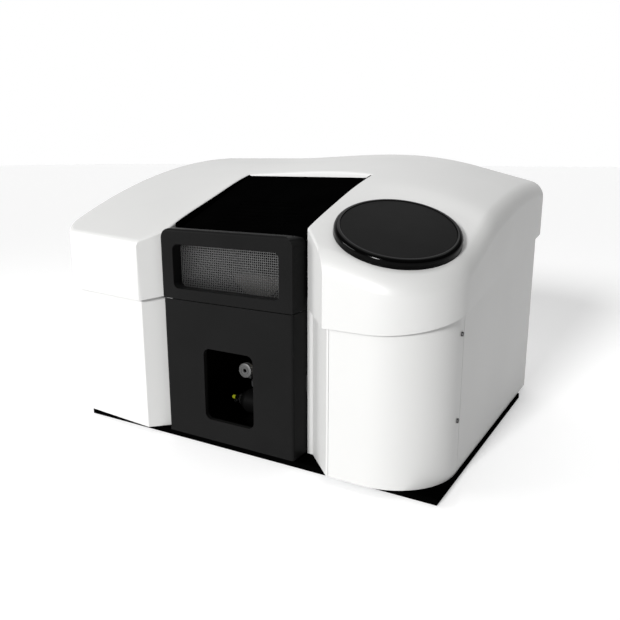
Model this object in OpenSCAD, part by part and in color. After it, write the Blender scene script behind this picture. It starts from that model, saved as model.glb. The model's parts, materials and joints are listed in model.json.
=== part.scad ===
// Bench atomic absorption spectrophotometer, in millimetres.
// X runs to the right, Y to the rear and Z up. The origin is on the bench, under the middle of the covers.

/* [Covers] */
// Width over the lower covers
body_w = 800; // [780:5:830]
// Depth over the lower covers
body_d = 650; // [630:5:680]
// How far the top cover stands outside the lower covers
lap = 9; // [7:1:12]
// Wall of the moulded top cover
cover_t = 4; // [3:0.5:5]
// Sheet of the lower covers
sheet_t = 3; // [2:0.5:4]
// Radius of the right front lobe, shared by the panel and the lamp bay
lobe_r = 118; // [112:2:130]
// Radius of the left front corner
left_corner_r = 35; // [20:5:50]
// Radius of the two rear corners
rear_corner_r = 18; // [12:2:30]
// How far the left front corner sits behind the right lobe
left_bow = 22; // [10:2:30]
// How far the inner edge of the left lobe sits behind the right lobe
left_set = 4; // [2:1:8]
// Height of the skirt line at the very front
skirt_z = 270.5; // [262:0.5:280]
// Slope of the skirt line at the very front
skirt_slope_front = 0.23; // [0.18:0.01:0.26]
// Slope of the skirt line along the sides
skirt_slope = 0.137; // [0.11:0.001:0.15]
// Distance over which the skirt line straightens
skirt_run = 214; // [160:2:260]
// How far the lower covers reach up inside the skirt
tuck = 10; // [6:1:14]

/* [Roof] */
// Radius of the long arch of the roof
arch_r = 1305; // [1250:5:1400]
// Height of the arch at its top
arch_top = 533; // [525:1:545]
// Place of the top of the arch along the depth
arch_y = 277; // [265:1:290]
// Rise of the crown above the arch
crown_h = 9; // [4:1:14]
// Place of the crown across the width
crown_x = 60; // [40:5:80]
// Width over which the crown rises from the left
crown_run = 260; // [200:10:320]
// Radius of the fall from the crown to the right
fall_r = 800; // [700:10:900]
// Angle at which the right side falls
fall_a = 14.6; // [12:0.2:16]
// Edge radius of the roof on the left
edge_small = 9; // [6:1:12]
// Edge radius of the roof on the right
edge_large = 27; // [20:1:32]

// Depth of the scoop in the left lobe beside the bay
scoop_h = 5; // [0:0.5:8]
// Width of that scoop
scoop_w = 190; // [120:10:220]

/* [Burner bay] */
// Width of the bay between the lobes
bay_w = 292; // [288:2:300]
// Distance from the front to the flange beside the door
flange_set = 61; // [56:1:66]
// Distance from the front to the rear wall of the bay in the roof
bay_back = 306; // [300:2:320]
// Half width between the centre line and the left flare at the front
left_flare = 190; // [184:2:200]
// Half width between the centre line and the right flare at the front
right_flare = 215; // [206:1:222]
// Width inside the heat-resistant liner
liner_w = 268; // [260:2:272]
// Sheet of the liner
liner_t = 2; // [1:0.5:3]
// Height of the light beam above the bench
beam_z = 330; // [322:1:338]
// Place of the light beam along the depth, from the front
beam_set = 130; // [126:1:136]
// Radius of the holes that let the beam through
port_r = 17; // [14:1:20]

/* [Hood and door] */
// Width of the hood and the door
door_w = 284; // [276:2:286]
// How far the door face sits behind the right lobe
face_set = 14; // [10:1:20]
// Sheet of the hood and the door
panel_t = 3; // [2:0.5:4]
// Height of the gap between door and hood
split_z = 279.5; // [274:0.5:286]
// Width of that gap
split_gap = 1.5; // [1.5:0.5:4]
// Height of the top edge of the hood
hood_z = 410; // [402:1:418]
// Radius of the top corners of the hood
hood_corner_r = 19; // [10:1:22]
// Depth of the hood frame and of the sides of the door
hood_depth = 44; // [40:1:46]
// Slope of the black plate behind the hood frame
plate_a = 22; // [20:0.5:23]
// Step from the hood frame down to the plate
plate_step = 10.6; // [8:0.2:12]
// Width of the grille opening
grille_w = 231; // [220:1:240]
// Height of the grille opening
grille_h = 82; // [76:1:88]
// Height of the bottom of the grille opening
grille_z = 300; // [296:1:304]
// Depth of the recess in front of the grille
recess_d = 23; // [16:1:28]
// Holes across the grille
grille_n = 30; // [20:1:32]
// Width of the door window
window_w = 110; // [100:2:120]
// Height of the door window
window_h = 138; // [130:2:146]
// Height of the bottom of the door window
window_z = 56; // [50:1:62]
// Place of the window across the door
window_x = 3.5; // [-4:0.5:8]

/* [Lamp bay] */
// Radius of the round lamp lid
lid_r = 106.5; // [100:0.5:108]
// Height of the rim of the lid
lid_h = 15; // [12:0.5:18]
// Radius of the satin disc in the lid
disc_r = 96.5; // [92:0.5:98]
// Pitch radius of the lamps on the turret
lamp_pitch = 62; // [58:1:66]
// Radius of a hollow cathode lamp
lamp_r = 18.5; // [16:0.5:19]
// Height of the lamp windows
lamp_top = 296; // [288:1:300]
// Length of a lamp with its base
lamp_l = 156; // [150:1:160]
// Lamps on the turret
lamp_n = 8; // [6:1:8]

/* [Base] */
// Thickness of the base plate
base_t = 11; // [6:1:12]
// Height of the foot pads
foot_h = 1; // [1:0.5:4]
// How far the left cover hangs over the base plate
base_left = 35; // [20:1:45]
// How far the base plate sits behind the right lobe
base_front = 20; // [16:1:25]
// How far the rear of the covers hangs over the base plate
base_rear = 78; // [60:2:90]
// How far the base stands out on the right
base_right = 3; // [0:1:6]

/* [Hidden] */

// Shared clearances: seats that touch, sliding gaps and running fits
seat = 0.3;
slack = 1.5;
run_fit = 0.05;
$fn = 64;

half_w = body_w / 2;
half_d = body_d / 2;
front_y = -half_d;
deck_z = foot_h + base_t;
pan_t = 2;
inner_z = deck_z + pan_t;
lobe_x = half_w - lobe_r;
lobe_y = front_y + lobe_r;
bay_x = bay_w / 2;
flange_y = front_y + flange_set;
bay_y = front_y + bay_back;
left_y = front_y + left_set;
face_y = front_y + face_set;
door_x = door_w / 2;
liner_x = liner_w / 2;
liner_front = flange_y + 2;
liner_back = bay_y - 25;
beam_y = front_y + beam_set;
fall_x = crown_x + fall_r * sin(fall_a);
rear_y = half_d - sheet_t - seat;

function clamp01(t) = max(0, min(1, t));
function ease(t) = let (u = clamp01(t)) u * u * (3 - 2 * u);
function unit(v) = v / norm(v);

// The skirt line: steeper at the front, then straight
function skirt(y) = let (u = y - (front_y - lap))
    u < skirt_run
    ? skirt_z + skirt_slope_front * u - (skirt_slope_front - skirt_slope) * u * u / (2 * skirt_run)
    : skirt_z + (skirt_slope_front - skirt_slope) * skirt_run / 2 + skirt_slope * u;

// The roof: a long arch from front to rear, with a crown that falls away to the right
function arch(y) = arch_top - arch_r + sqrt(arch_r * arch_r - pow(y - arch_y, 2));
function crown(x) =
    x < crown_x ? crown_h * ease((x - crown_x + crown_run) / crown_run)
    : x < fall_x ? crown_h - fall_r + sqrt(fall_r * fall_r - pow(x - crown_x, 2))
    : crown_h - fall_r * (1 - cos(fall_a)) - (x - fall_x) * tan(fall_a);

// The lid lies on a plane over the centre of the lobe, sunk a little into the roof and less steep
lid_sink = 7;
lid_ease = 0.86;
lid_z = arch(lobe_y) + crown(lobe_x) - lid_sink;
lid_dx = (crown(lobe_x + 1) - crown(lobe_x - 1)) / 2;
lid_dy = (arch(lobe_y + 1) - arch(lobe_y - 1)) / 2 * lid_ease;
lid_ay = atan(-lid_dx);
lid_ax = atan(lid_dy * cos(lid_ay));
lid_flat = lid_r + 3;
lid_blend = 90;
function lid_plane(x, y) = lid_z + (x - lobe_x) * lid_dx + (y - lobe_y) * lid_dy;
// The left lobe is scooped a little towards the bay, so that the edge of the bay runs straight
scoop_y0 = flange_y - 26;
function scoop(x, y) =
    y < scoop_y0 || y > bay_y ? 0
    : scoop_h * pow(sin(180 * (y - scoop_y0) / (bay_y - scoop_y0)), 2)
    * ease((x + bay_x + scoop_w) / scoop_w) * ease(-x * 2 / bay_x);
function roof(x, y) =
    let (w = ease((norm([x - lobe_x, y - lobe_y]) - lid_flat) / lid_blend))
    lid_plane(x, y) * (1 - w) + (arch(y) + crown(x)) * w - scoop(x, y);
function edge_r(x) = edge_small + (edge_large - edge_small) * ease((x + lobe_x / 2) / lobe_x);

// Plan outline of the covers, moved outwards by o, as points in turn from the left front corner
function corners(o) = [[-half_w - o, front_y + left_bow - o], [-left_flare, left_y - o],
    [half_w + o, front_y - o], [half_w + o, half_d + o], [-half_w - o, half_d + o]];
function corner_rs(o) = [left_corner_r + o, 0, lobe_r + o, rear_corner_r + o, rear_corner_r + o];
function fillet(a, p, b, r, n) = r <= 0 ? [p] :
    let (u = unit(a - p), v = unit(b - p), h = acos(u * v) / 2, c = p + unit(u + v) * r / sin(h),
        s = p + u * r / tan(h) - c, e = p + v * r / tan(h) - c, a0 = atan2(s.y, s.x),
        d = (atan2(e.y, e.x) - a0 + 540) % 360 - 180)
    [for (i = [0:n]) c + r * [cos(a0 + d * i / n), sin(a0 + d * i / n)]];
function between(a, b, step) = let (n = ceil(norm(b - a) / step)) [for (i = [1:1:n - 1]) a + (b - a) * i / n];
function outline(o, step = 2000, n = 14) =
    let (c = corners(o), r = corner_rs(o), m = len(c),
        arcs = [for (k = [0:m - 1]) fillet(c[(k + m - 1) % m], c[k], c[(k + 1) % m], r[k], n)])
    [for (k = [0:m - 1]) each concat(arcs[k],
        between(arcs[k][len(arcs[k]) - 1], arcs[(k + 1) % m][0], step))];

// The opening between the lobes: straight walls grown by g, and 45 degree flares grown by f
module bay_plan(g, f) {
    far = 600;
    left_c = -left_flare - left_y - f * sqrt(2);
    right_c = right_flare + front_y + f * sqrt(2);
    fy = flange_y + g;
    translate([-bay_x - g, -far]) square([2 * (bay_x + g), far + bay_y + g]);
    polygon([[left_c + fy, fy], [right_c - fy, fy], [right_c + far, -far], [left_c - far, -far]]);
}

// Everything below the skirt line, raised by lift
module under_skirt(lift) {
    far = half_d + 60;
    rotate([90, 0, 90]) linear_extrude(2 * body_w, center = true)
        polygon(concat([[-far, -1], [far, -1]],
            [for (y = [far:-20:-far]) [y, skirt(y) + lift]]));
}

// A rod between two heights, or along X or Y from its start
module rod_z(p, r, h) { translate(p) cylinder(r = r, h = h); }
module rod_y(p, r, h) { translate(p) rotate([-90, 0, 0]) cylinder(r = r, h = h); }
module rod_x(p, r, h) { translate(p) rotate([0, 90, 0]) cylinder(r = r, h = h); }
module box(a, b) { translate(a) cube(b - a); }
module round_rect(w, h, r) {
    for (x = [-1, 1]) for (y = [-1, 1]) translate([x * (w / 2 - r), y * (h / 2 - r)]) circle(r);
    square([w - 2 * r, h], center = true);
    square([w, h - 2 * r], center = true);
}
// A profile drawn in X and Z, extruded along Y from y to y + d
module along_y(y, d) { translate([0, y + d, 0]) rotate([90, 0, 0]) linear_extrude(d) children(); }
// A profile drawn in Y and Z, extruded along X from x to x + d
module along_x(x, d) { translate([x, 0, 0]) rotate([90, 0, 90]) linear_extrude(d) children(); }
module on_lid() { translate([lobe_x, lobe_y, lid_z]) rotate([lid_ax, lid_ay, 0]) children(); }

// Base
base_x0 = -half_w + base_left;
base_y0 = front_y + base_front;
base_x1 = half_w + base_right;
base_y1 = half_d - base_rear;
pad_r = 16;
module base_plate() {
    color("#141414") translate([base_x0, base_y0, foot_h])
        cube([base_x1 - base_x0, base_y1 - base_y0, base_t]);
}
module foot_pads() {
    color("#202020")
        for (x = [base_x0 + 45, 0, half_w - 60]) for (y = [base_y0 + 60, base_y1 - 40])
            rod_z([x, y, 0], pad_r, foot_h);
}

// Moulded top cover
edge_steps = 5;
core = [0.05, 0.12, 0.2, 0.3, 0.4, 0.5, 0.6, 0.7, 0.8, 0.9];
function inward(pts, k) = let (n = len(pts), t = unit(pts[(k + 1) % n] - pts[(k + n - 1) % n])) [-t.y, t.x];
function shrink(pts, k, d) = let (p = pts[k]) p - p * d / (-p * inward(pts, k));
function roof_ring(pts, sink, d, low) = [for (k = [0:len(pts) - 1])
    let (r = edge_r(pts[k].x) * d, q = shrink(pts, k, r))
    [q.x, q.y, roof(q.x, q.y) - low - edge_r(pts[k].x) * sink]];
module roof_solid(o, low, foot, fine, inner) {
    pts = outline(o, fine, 10);
    n = len(pts);
    rings = concat(
        [[for (p = pts) [p.x, p.y, skirt(p.y) - foot]]],
        [for (i = [0:edge_steps]) let (a = 90 * i / edge_steps) roof_ring(pts, 1 - sin(a), 1 - cos(a), low)],
        [for (s = inner) [for (k = [0:n - 1]) let (q = shrink(pts, k, edge_r(pts[k].x)) * (1 - s))
            [q.x, q.y, roof(q.x, q.y) - low]]]);
    m = len(rings);
    polyhedron(
        concat([for (r = rings) each r], [[0, 0, roof(0, 0) - low], [0, 0, skirt(0) - foot]]),
        concat(
            [for (j = [0:m - 2]) for (k = [0:n - 1]) let (a = j * n + k, b = j * n + (k + 1) % n)
                each [[a, a + n, b + n], [a, b + n, b]]],
            [for (k = [0:n - 1]) [(m - 1) * n + k, m * n, (m - 1) * n + (k + 1) % n]],
            [for (k = [0:n - 1]) [k, (k + 1) % n, m * n + 1]]));
}
lid_bore = lid_r - 12;
pocket = 1.5;
module top_cover() {
    color("#f4f4f4") difference() {
        roof_solid(lap, 0, 20, 36, core);
        under_skirt(0);
        difference() {
            roof_solid(lap - cover_t, cover_t, 30, 60, [0.1, 0.25, 0.4, 0.6, 0.8]);
            translate([0, 0, 100]) linear_extrude(500) bay_plan(cover_t, cover_t - lap);
        }
        translate([0, 0, 90]) linear_extrude(520) bay_plan(0, -lap);
        on_lid() translate([0, 0, -60]) cylinder(r = lid_bore, h = 100);
        on_lid() translate([0, 0, -pocket]) cylinder(r = lid_r + seat, h = 40, $fn = 128);
        rod_x([-bay_x - 10, beam_y, beam_z], port_r + 3, 2 * bay_x + 20);
    }
}

// Lower covers: one wall that follows the outline and lines the bay, cut into its sheets
return_w = 30;
seam = 0.6;
module wall_plan() {
    difference() {
        polygon(outline(0));
        bay_plan(0, 0);
        difference() {
            polygon(outline(-sheet_t));
            bay_plan(sheet_t, sheet_t);
        }
    }
}
module lower_wall() {
    difference() {
        intersection() {
            translate([0, 0, deck_z]) linear_extrude(500) children();
            under_skirt(tuck);
        }
        difference() {
            box([-bay_x - sheet_t - 1, flange_y - 20, 100], [bay_x + sheet_t + 1, bay_y + 20, 600]);
            under_skirt(-seat);
        }
        rod_x([-bay_x - 10, beam_y, beam_z], port_r + 3, 2 * bay_x + 20);
    }
}
module left_cover() {
    color("#f2f2f2") lower_wall() intersection() {
        wall_plan();
        difference() {
            translate([-half_w, front_y]) square([half_w - bay_x, body_d]);
            translate([-half_w + return_w, rear_y]) square([half_w, body_d]);
        }
    }
}
// Black trim inside the side walls of the bay, up to the edge of the roof
trim_t = 1.6;
trim_low = 24;
function trim_foot(y) = min(plate_z(y), roof(bay_x, y)) - trim_low;
module bay_trim() {
    y0 = flange_y + 14;
    y1 = bay_y - 2;
    color("#0a0a0a") for (s = [-1, 1])
        along_x(s * (bay_x - seat - trim_t / 2) - trim_t / 2, trim_t) polygon(concat(
            [[y0, trim_foot(y0)], [y1, trim_foot(y1)]],
            [for (k = [0:12]) let (y = y1 + (y0 - y1) * k / 12) [y, roof(s * bay_x, y) - 1.2]]));
}
module panel_zone(g) {
    translate([right_flare + 3 - g, front_y - 1]) square([half_w, lobe_y - front_y + 8 + g]);
}
module right_cover() {
    color("#f2f2f2") lower_wall() intersection() {
        wall_plan();
        translate([half_w - return_w, lobe_y + 8 + seam]) square([return_w, body_d]);
    }
}
lip_w = 3.2;
lip_z = 302;
module bay_side_cover() {
    color("#f2f2f2") lower_wall() intersection() {
        wall_plan();
        translate([bay_x, front_y]) square([right_flare + 3 - seam - bay_x, bay_y - front_y + sheet_t]);
    }
    color("#f2f2f2") {
        box([bay_x - lip_w, flange_y, deck_z], [bay_x + sheet_t, flange_y + sheet_t, skirt(flange_y) - 1]);
        box([bay_x - lip_w, flange_y, deck_z], [bay_x - seat, flange_y + sheet_t, lip_z]);
    }
}
panel_screw_z = [110, 259];
panel_screw_y = lobe_y - 4;
module lamp_access_panel() {
    color("#f4f4f4") difference() {
        lower_wall() intersection() {
            wall_plan();
            panel_zone(0);
        }
        for (z = panel_screw_z) rod_x([half_w - 8, panel_screw_y, z], 2.2, 10);
    }
}
module panel_screws() {
    color("#b8b8b8") for (z = panel_screw_z) difference() {
        union() {
            rod_x([half_w - sheet_t - 6, panel_screw_y, z], 2, sheet_t + 7);
            rod_x([half_w + 0.2, panel_screw_y, z], 4, 2);
        }
        rod_x([half_w + 1.2, panel_screw_y, z], 1.4, 2);
    }
}

// Floor pan that closes the covers from below, around the burner bay
module floor_pan() {
    wall_gap = sheet_t + seat;
    color("#c8c8c8") translate([0, 0, deck_z]) linear_extrude(pan_t) {
        difference() {
            polygon(outline(-wall_gap));
            translate([-body_w, rear_y - sheet_t - seat]) square([2 * body_w, body_d]);
            bay_plan(wall_gap, wall_gap);
        }
        translate([-bay_x + seat, liner_back + seat])
            square([2 * (bay_x - seat), bay_y + wall_gap + 1 - liner_back - seat]);
    }
}

// Rear panel, set into the covers, with its openings
panel_x = half_w - rear_corner_r;
fan_p = [-230, 215];
fan_r = 40;
inlet_p = [290, 70];
gas_p = [for (i = [0:2]) [40 + 45 * i, 70]];
data_p = [200, 72];
module rear_panel() {
    color("#e8e8e8") along_y(rear_y - 3, 3) difference() {
        translate([-panel_x, deck_z]) square([2 * panel_x, skirt(rear_y) + tuck - deck_z]);
        translate(fan_p) circle(fan_r + 2);
        translate(inlet_p) square([30, 50], center = true);
        for (p = gas_p) translate(p) circle(6.5);
        translate(data_p) square([13, 12], center = true);
        for (i = [0:11]) for (j = [0:1])
            translate([-60 + 26 * i, 190 + 60 * j]) round_rect(6, 46, 2.9);
    }
}
module fan_frame() {
    color("#1a1a1a") along_y(rear_y - 3 - seat - 25, 25) translate(fan_p) difference() {
        round_rect(2 * fan_r + 12, 2 * fan_r + 12, 5);
        circle(fan_r + 1.5);
        for (x = [-1, 1]) for (y = [-1, 1]) translate([x, y] * (fan_r - 1.3)) circle(2.1);
    }
    color("#1a1a1a") {
        rod_y([fan_p.x, rear_y - 28.3, fan_p.y], 15, 3);
        rod_y([fan_p.x, rear_y - 26, fan_p.y], 2.5, 17);
        for (a = [45:90:359]) along_y(rear_y - 28.3, 3) translate(fan_p) rotate(a)
            translate([10, -2]) square([fan_r - 7, 4]);
    }
}
blades = 7;
module fan_rotor() {
    color("#262626") translate([fan_p.x, rear_y - 24, fan_p.y]) rotate([-90, 0, 0]) difference() {
        union() {
            cylinder(r = 16, h = 18);
            for (i = [0:blades - 1]) rotate([0, 0, 360 * i / blades])
                translate([0, 0, 9]) rotate([38, 0, 0])
                translate([12, -1, -9]) cube([fan_r - 14, 2, 18]);
        }
        translate([0, 0, -1]) cylinder(r = 2.5 + run_fit, h = 17);
    }
}
module fan_guard() {
    color("#c8c8c8") along_y(rear_y + seat, 2) translate(fan_p) {
        for (r = [10:10:fan_r]) difference() { circle(r + 1); circle(r - 1); }
        for (a = [45:90:359]) rotate(a) translate([0, -1.2]) square([fan_r + 12, 2.4]);
        difference() { circle(5); circle(1.6); }
    }
}
rocker_p = [inlet_p.x, rear_y - 3, inlet_p.y + 13];
rocker_pin_r = 1.5;
module mains_inlet() {
    color("#101010") {
        difference() {
            along_y(rear_y - 24, 23.7) translate(inlet_p) square([29, 49], center = true);
            along_y(rear_y - 20, 30) translate(inlet_p - [0, 11]) round_rect(24, 17, 3);
            along_y(rear_y - 14, 30) translate(inlet_p + [0, 13]) square([22, 15], center = true);
            rod_x([rocker_p.x - 13, rocker_p.y, rocker_p.z], rocker_pin_r + run_fit, 26);
        }
        difference() {
            along_y(rear_y + seat, 2.5) translate(inlet_p) round_rect(36, 56, 3);
            along_y(rear_y - 20, 40) translate(inlet_p - [0, 11]) round_rect(24, 17, 3);
            along_y(rear_y - 14, 30) translate(inlet_p + [0, 13]) square([22, 15], center = true);
        }
        along_y(rear_y - 1, 2) translate(inlet_p) difference() {
            square([29, 49], center = true);
            translate([0, -11]) round_rect(24, 17, 3);
            translate([0, 13]) square([22, 15], center = true);
        }
    }
    color("#d8c070") for (x = [-7, 0, 7])
        along_y(rear_y - 20.5, 14) translate(inlet_p + [x, x == 0 ? -8 : -12]) square([2, 5], center = true);
}
rocker_a = 10;
module power_rocker() {
    color("#181818") translate(rocker_p) {
        rotate([rocker_a / 2, 0, 0]) rotate([90, 0, 90]) linear_extrude(20.6, center = true)
            polygon([[-5, -5.2], [2, -6.6], [4.4, -6.4], [3.1, 0], [4.4, 6.4], [2, 6.6], [-5, 5.2]]);
        rod_x([-12.5, 0, 0], rocker_pin_r, 25);
    }
}
module gas_fittings() {
    color("#c9a24a") for (p = gas_p) difference() {
        union() {
            rod_y([p.x, rear_y - 22, p.y], 6, 33);
            rod_y([p.x, rear_y + seat, p.y], 10, 6, $fn = 6);
            translate([0, -3 - seat - 6, 0]) rod_y([p.x, rear_y, p.y], 10, 6, $fn = 6);
        }
        rod_y([p.x, rear_y + 8, p.y], 3, 20);
    }
}
module data_port() {
    color("#c0c0c0") difference() {
        along_y(rear_y - 16, 17) translate(data_p) square([12.4, 11.4], center = true);
        along_y(rear_y - 12, 20) translate(data_p) square([8.6, 7.6], center = true);
    }
    color("#f0f0f0") along_y(rear_y - 12, 10) translate(data_p + [0, 0.4]) square([5.6, 3], center = true);
}

// Burner bay liner, open at the front and the top
function plate_z(y) = hood_z - plate_step + (y - (face_y + hood_depth)) * tan(plate_a);
liner_drop = 26;
module liner_side() {
    polygon([[liner_front, deck_z], [liner_back, deck_z], [liner_back, plate_z(liner_back) - liner_drop],
        [liner_front, plate_z(liner_front) - liner_drop]]);
}
module bay_liner() {
    color("#1c1c1c") difference() {
        union() {
            for (x = [-liner_x - liner_t, liner_x]) along_x(x, liner_t) liner_side();
            box([-liner_x, liner_front, deck_z], [liner_x, liner_back, deck_z + liner_t]);
            box([-liner_x, liner_back - liner_t, deck_z],
                [liner_x, liner_back, plate_z(liner_back) - liner_drop - 1]);
        }
        rod_x([-liner_x - 10, beam_y, beam_z], port_r, liner_w + 20);
        for (x = [-30, 30]) rod_y([x, liner_back - 10, 110], 4.3, 20);
    }
}
ring_h = 4;
module beam_port_rings() {
    color("#8a8a8a") for (s = [-1, 1]) difference() {
        union() {
            rod_x([s * (liner_x - ring_h / 2 - seat / 2) - ring_h / 2, beam_y, beam_z], port_r + 6, ring_h);
            rod_x([s * (liner_x + liner_t / 2 - 1) - liner_t - 1, beam_y, beam_z], port_r - seat,
                2 * liner_t + 2);
        }
        rod_x([s * liner_x - 20, beam_y, beam_z], port_r - 3, 40);
        rod_x([s * (liner_x - 2) - 2, beam_y, beam_z], port_r - 1.5, 4);
    }
}
module beam_windows() {
    color("#d8e8f0") for (s = [-1, 1])
        rod_x([s * (liner_x - 2) - 1.5, beam_y, beam_z], port_r - 1.5 - seat, 3);
}

// Hood: a grilled frame in front and a sloping plate behind, hinged at the rear of the plate
hinge_y = bay_y - 14;
plate_end = bay_y - 7.5;
pin_r = 2.5;
hinge_z = plate_z(hinge_y) - 9;
hinge_x = 100;
knuckle_w = 16;
ear_w = 6;
module hinge_mount() {
    color("#3a3a3a") {
        box([-hinge_x - 20, liner_back + seat, hinge_z - 42], [hinge_x + 20, liner_back + 6, hinge_z - 14]);
        for (s = [-1, 1]) for (d = [-1, 1])
            translate([s * hinge_x + d * (knuckle_w / 2 + seat + ear_w / 2) - ear_w / 2, 0, 0]) difference() {
                union() {
                    rod_x([0, hinge_y, hinge_z], pin_r + 1.9, ear_w);
                    box([0, liner_back + 1, hinge_z - 40], [ear_w, hinge_y + pin_r + 1.9, hinge_z]);
                }
                rod_x([-1, hinge_y, hinge_z], pin_r, ear_w + 2);
            }
    }
}
module hood_hinge_pins() {
    color("#b0b0b0") for (s = [-1, 1])
        rod_x([s * hinge_x - 19, hinge_y, hinge_z], pin_r, 38);
}
frame_back = face_y + hood_depth;
hood_z0 = split_z + split_gap / 2;
top_soft = 6;
module hood_front(i, low) {
    round_x = door_x - hood_corner_r;
    round_z = hood_z - hood_corner_r;
    translate([-door_x + i, low]) square([door_w - 2 * i, round_z - low]);
    translate([-round_x, low]) square([2 * round_x, hood_z - i - low]);
    for (s = [-1, 1]) translate([s * round_x, round_z]) circle(hood_corner_r - i);
}
top_fall = 6;
top_flat = face_y + 18;
function hood_top(y, i) = hood_z - i - top_fall * max(0, y - top_flat) / (frame_back - top_flat);
module hood_side(i, low, back) {
    polygon(concat(
        [[face_y + i, low]],
        [for (a = [0:15:75]) [face_y + i + top_soft * (1 - cos(a)), hood_z - i - top_soft * (1 - sin(a))]],
        [[top_flat, hood_top(top_flat, i)], [back, hood_top(back, i)], [back, low]]));
}
grille_cz = grille_z + grille_h / 2;
module hood_frame() {
    color("#1e1e1e") difference() {
        union() {
            difference() {
                intersection() {
                    along_y(face_y - 1, hood_depth + 2) hood_front(0, hood_z0);
                    along_x(-door_x - 1, door_w + 2) hood_side(0, hood_z0, frame_back);
                }
                intersection() {
                    along_y(face_y - 1, hood_depth + 20) hood_front(panel_t, hood_z0 + panel_t);
                    along_x(-door_x - 1, door_w + 2) hood_side(panel_t, hood_z0 + panel_t, frame_back + 9);
                }
            }
            along_y(face_y + 1, recess_d - 1) translate([0, grille_cz])
                round_rect(grille_w + 5, grille_h + 5, 13);
        }
        along_y(face_y - 2, hood_depth) translate([0, grille_cz]) round_rect(grille_w, grille_h, 11);
    }
}
grille_pitch = (grille_w + 2) / grille_n;
grille_rows = floor((grille_h + 2) / grille_pitch);
wire_w = 1.8;
module hood_grille() {
    color("#4a4a4a") along_y(face_y + recess_d + seat, 1.5) translate([0, grille_cz]) difference() {
        square([grille_w + 5, grille_h + 5], center = true);
        for (i = [0:grille_n - 1]) for (j = [0:grille_rows - 1])
            translate([(i - (grille_n - 1) / 2) * grille_pitch, (j - (grille_rows - 1) / 2) * grille_pitch])
                square(grille_pitch - wire_w, center = true);
    }
}
vent_n = 9;
vent_w = 150;
plate_w = door_w - 2;
tongue = 12;
tongue_x = door_x - 10;
module hood_plate() {
    color("#0c0c0c") difference() {
        union() {
            along_x(-plate_w / 2, plate_w) polygon([
                [frame_back + seat, plate_z(frame_back + seat)], [plate_end, plate_z(plate_end)],
                [plate_end, plate_z(plate_end) - panel_t / cos(plate_a)],
                [frame_back + seat, plate_z(frame_back + seat) - panel_t / cos(plate_a)]]);
            for (x = [-plate_w / 2, plate_w / 2 - panel_t]) along_x(x, panel_t) polygon([
                [frame_back + seat, plate_z(frame_back + seat)], [hinge_y - 14, plate_z(hinge_y - 14)],
                [hinge_y - 14, plate_z(hinge_y - 14) - 16],
                [frame_back + seat, plate_z(frame_back + seat) - 16]]);
            along_x(-tongue_x, 2 * tongue_x) polygon([
                [frame_back - tongue, hood_top(frame_back - tongue, panel_t) - seat],
                [frame_back, hood_top(frame_back, panel_t) - seat],
                [frame_back + seat, plate_z(frame_back + seat)], [frame_back + 6, plate_z(frame_back + 6)],
                [frame_back + 6, plate_z(frame_back + 6) - 7],
                [frame_back - tongue, hood_top(frame_back - tongue, panel_t) - seat - 5]]);
            for (s = [-1, 1]) {
                rod_x([s * hinge_x - knuckle_w / 2, hinge_y, hinge_z], pin_r + 1.9, knuckle_w);
                box([s * hinge_x - knuckle_w / 2, hinge_y - 4, hinge_z],
                    [s * hinge_x + knuckle_w / 2, hinge_y + 3, plate_z(hinge_y) - 2]);
            }
        }
        for (s = [-1, 1]) rod_x([s * hinge_x - knuckle_w, hinge_y, hinge_z], pin_r + run_fit, 2 * knuckle_w);
        for (i = [0:vent_n - 1]) let (y = beam_y + (i - (vent_n - 1) / 2) * 14)
            translate([0, y, plate_z(y)]) rotate([plate_a, 0, 0]) translate([0, 0, -20])
            linear_extrude(40) round_rect(vent_w, 6, 2.9);
    }
}

// Door with its window, hinged on pins near its left edge
door_z0 = deck_z + 3;
door_z1 = split_z - split_gap / 2;
door_p = [-door_x + 6, face_y + 12];
door_pin_r = 2.5;
boss_r = 5;
arm_z = door_z1 - 9;
side_r = 5;
module door_plan() {
    difference() {
        union() {
            for (s = [-1, 1]) translate([s * (door_x - side_r), face_y + side_r]) circle(side_r);
            translate([-door_x + side_r, face_y]) square([door_w - 2 * side_r, 2 * side_r]);
            translate([-door_x, face_y + side_r]) square([door_w, hood_depth - side_r]);
        }
        translate([-door_x + panel_t, face_y + panel_t]) square([door_w - 2 * panel_t, hood_depth]);
    }
}
module front_door() {
    color("#1e1e1e") difference() {
        union() {
            difference() {
                translate([0, 0, door_z0]) linear_extrude(door_z1 - door_z0) door_plan();
                box([-door_x - 1, face_y + side_r, arm_z - 2], [-door_x + 20, 0, door_z1 + 1]);
            }
            box([-door_x + 20, face_y + 1, door_z1 - panel_t], [door_x - 1, face_y + 22, door_z1]);
            box([-door_x + 1, face_y + 1, door_z0], [door_x - 1, face_y + 22, door_z0 + panel_t]);
            along_y(face_y + 1, 8) translate([window_x, window_z + window_h / 2])
                round_rect(window_w + 5, window_h + 5, 15);
            rod_z([door_p.x, door_p.y, door_z0], boss_r, 18);
            rod_z([door_p.x, door_p.y, arm_z - 22], boss_r, 20);
        }
        along_y(face_y - 1, 12) translate([window_x, window_z + window_h / 2])
            round_rect(window_w, window_h, 13);
        rod_z([door_p.x, door_p.y, door_z0 - 1], door_pin_r + run_fit, 16);
        rod_z([door_p.x, door_p.y, arm_z - 18], door_pin_r + run_fit, 20);
    }
}
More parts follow.
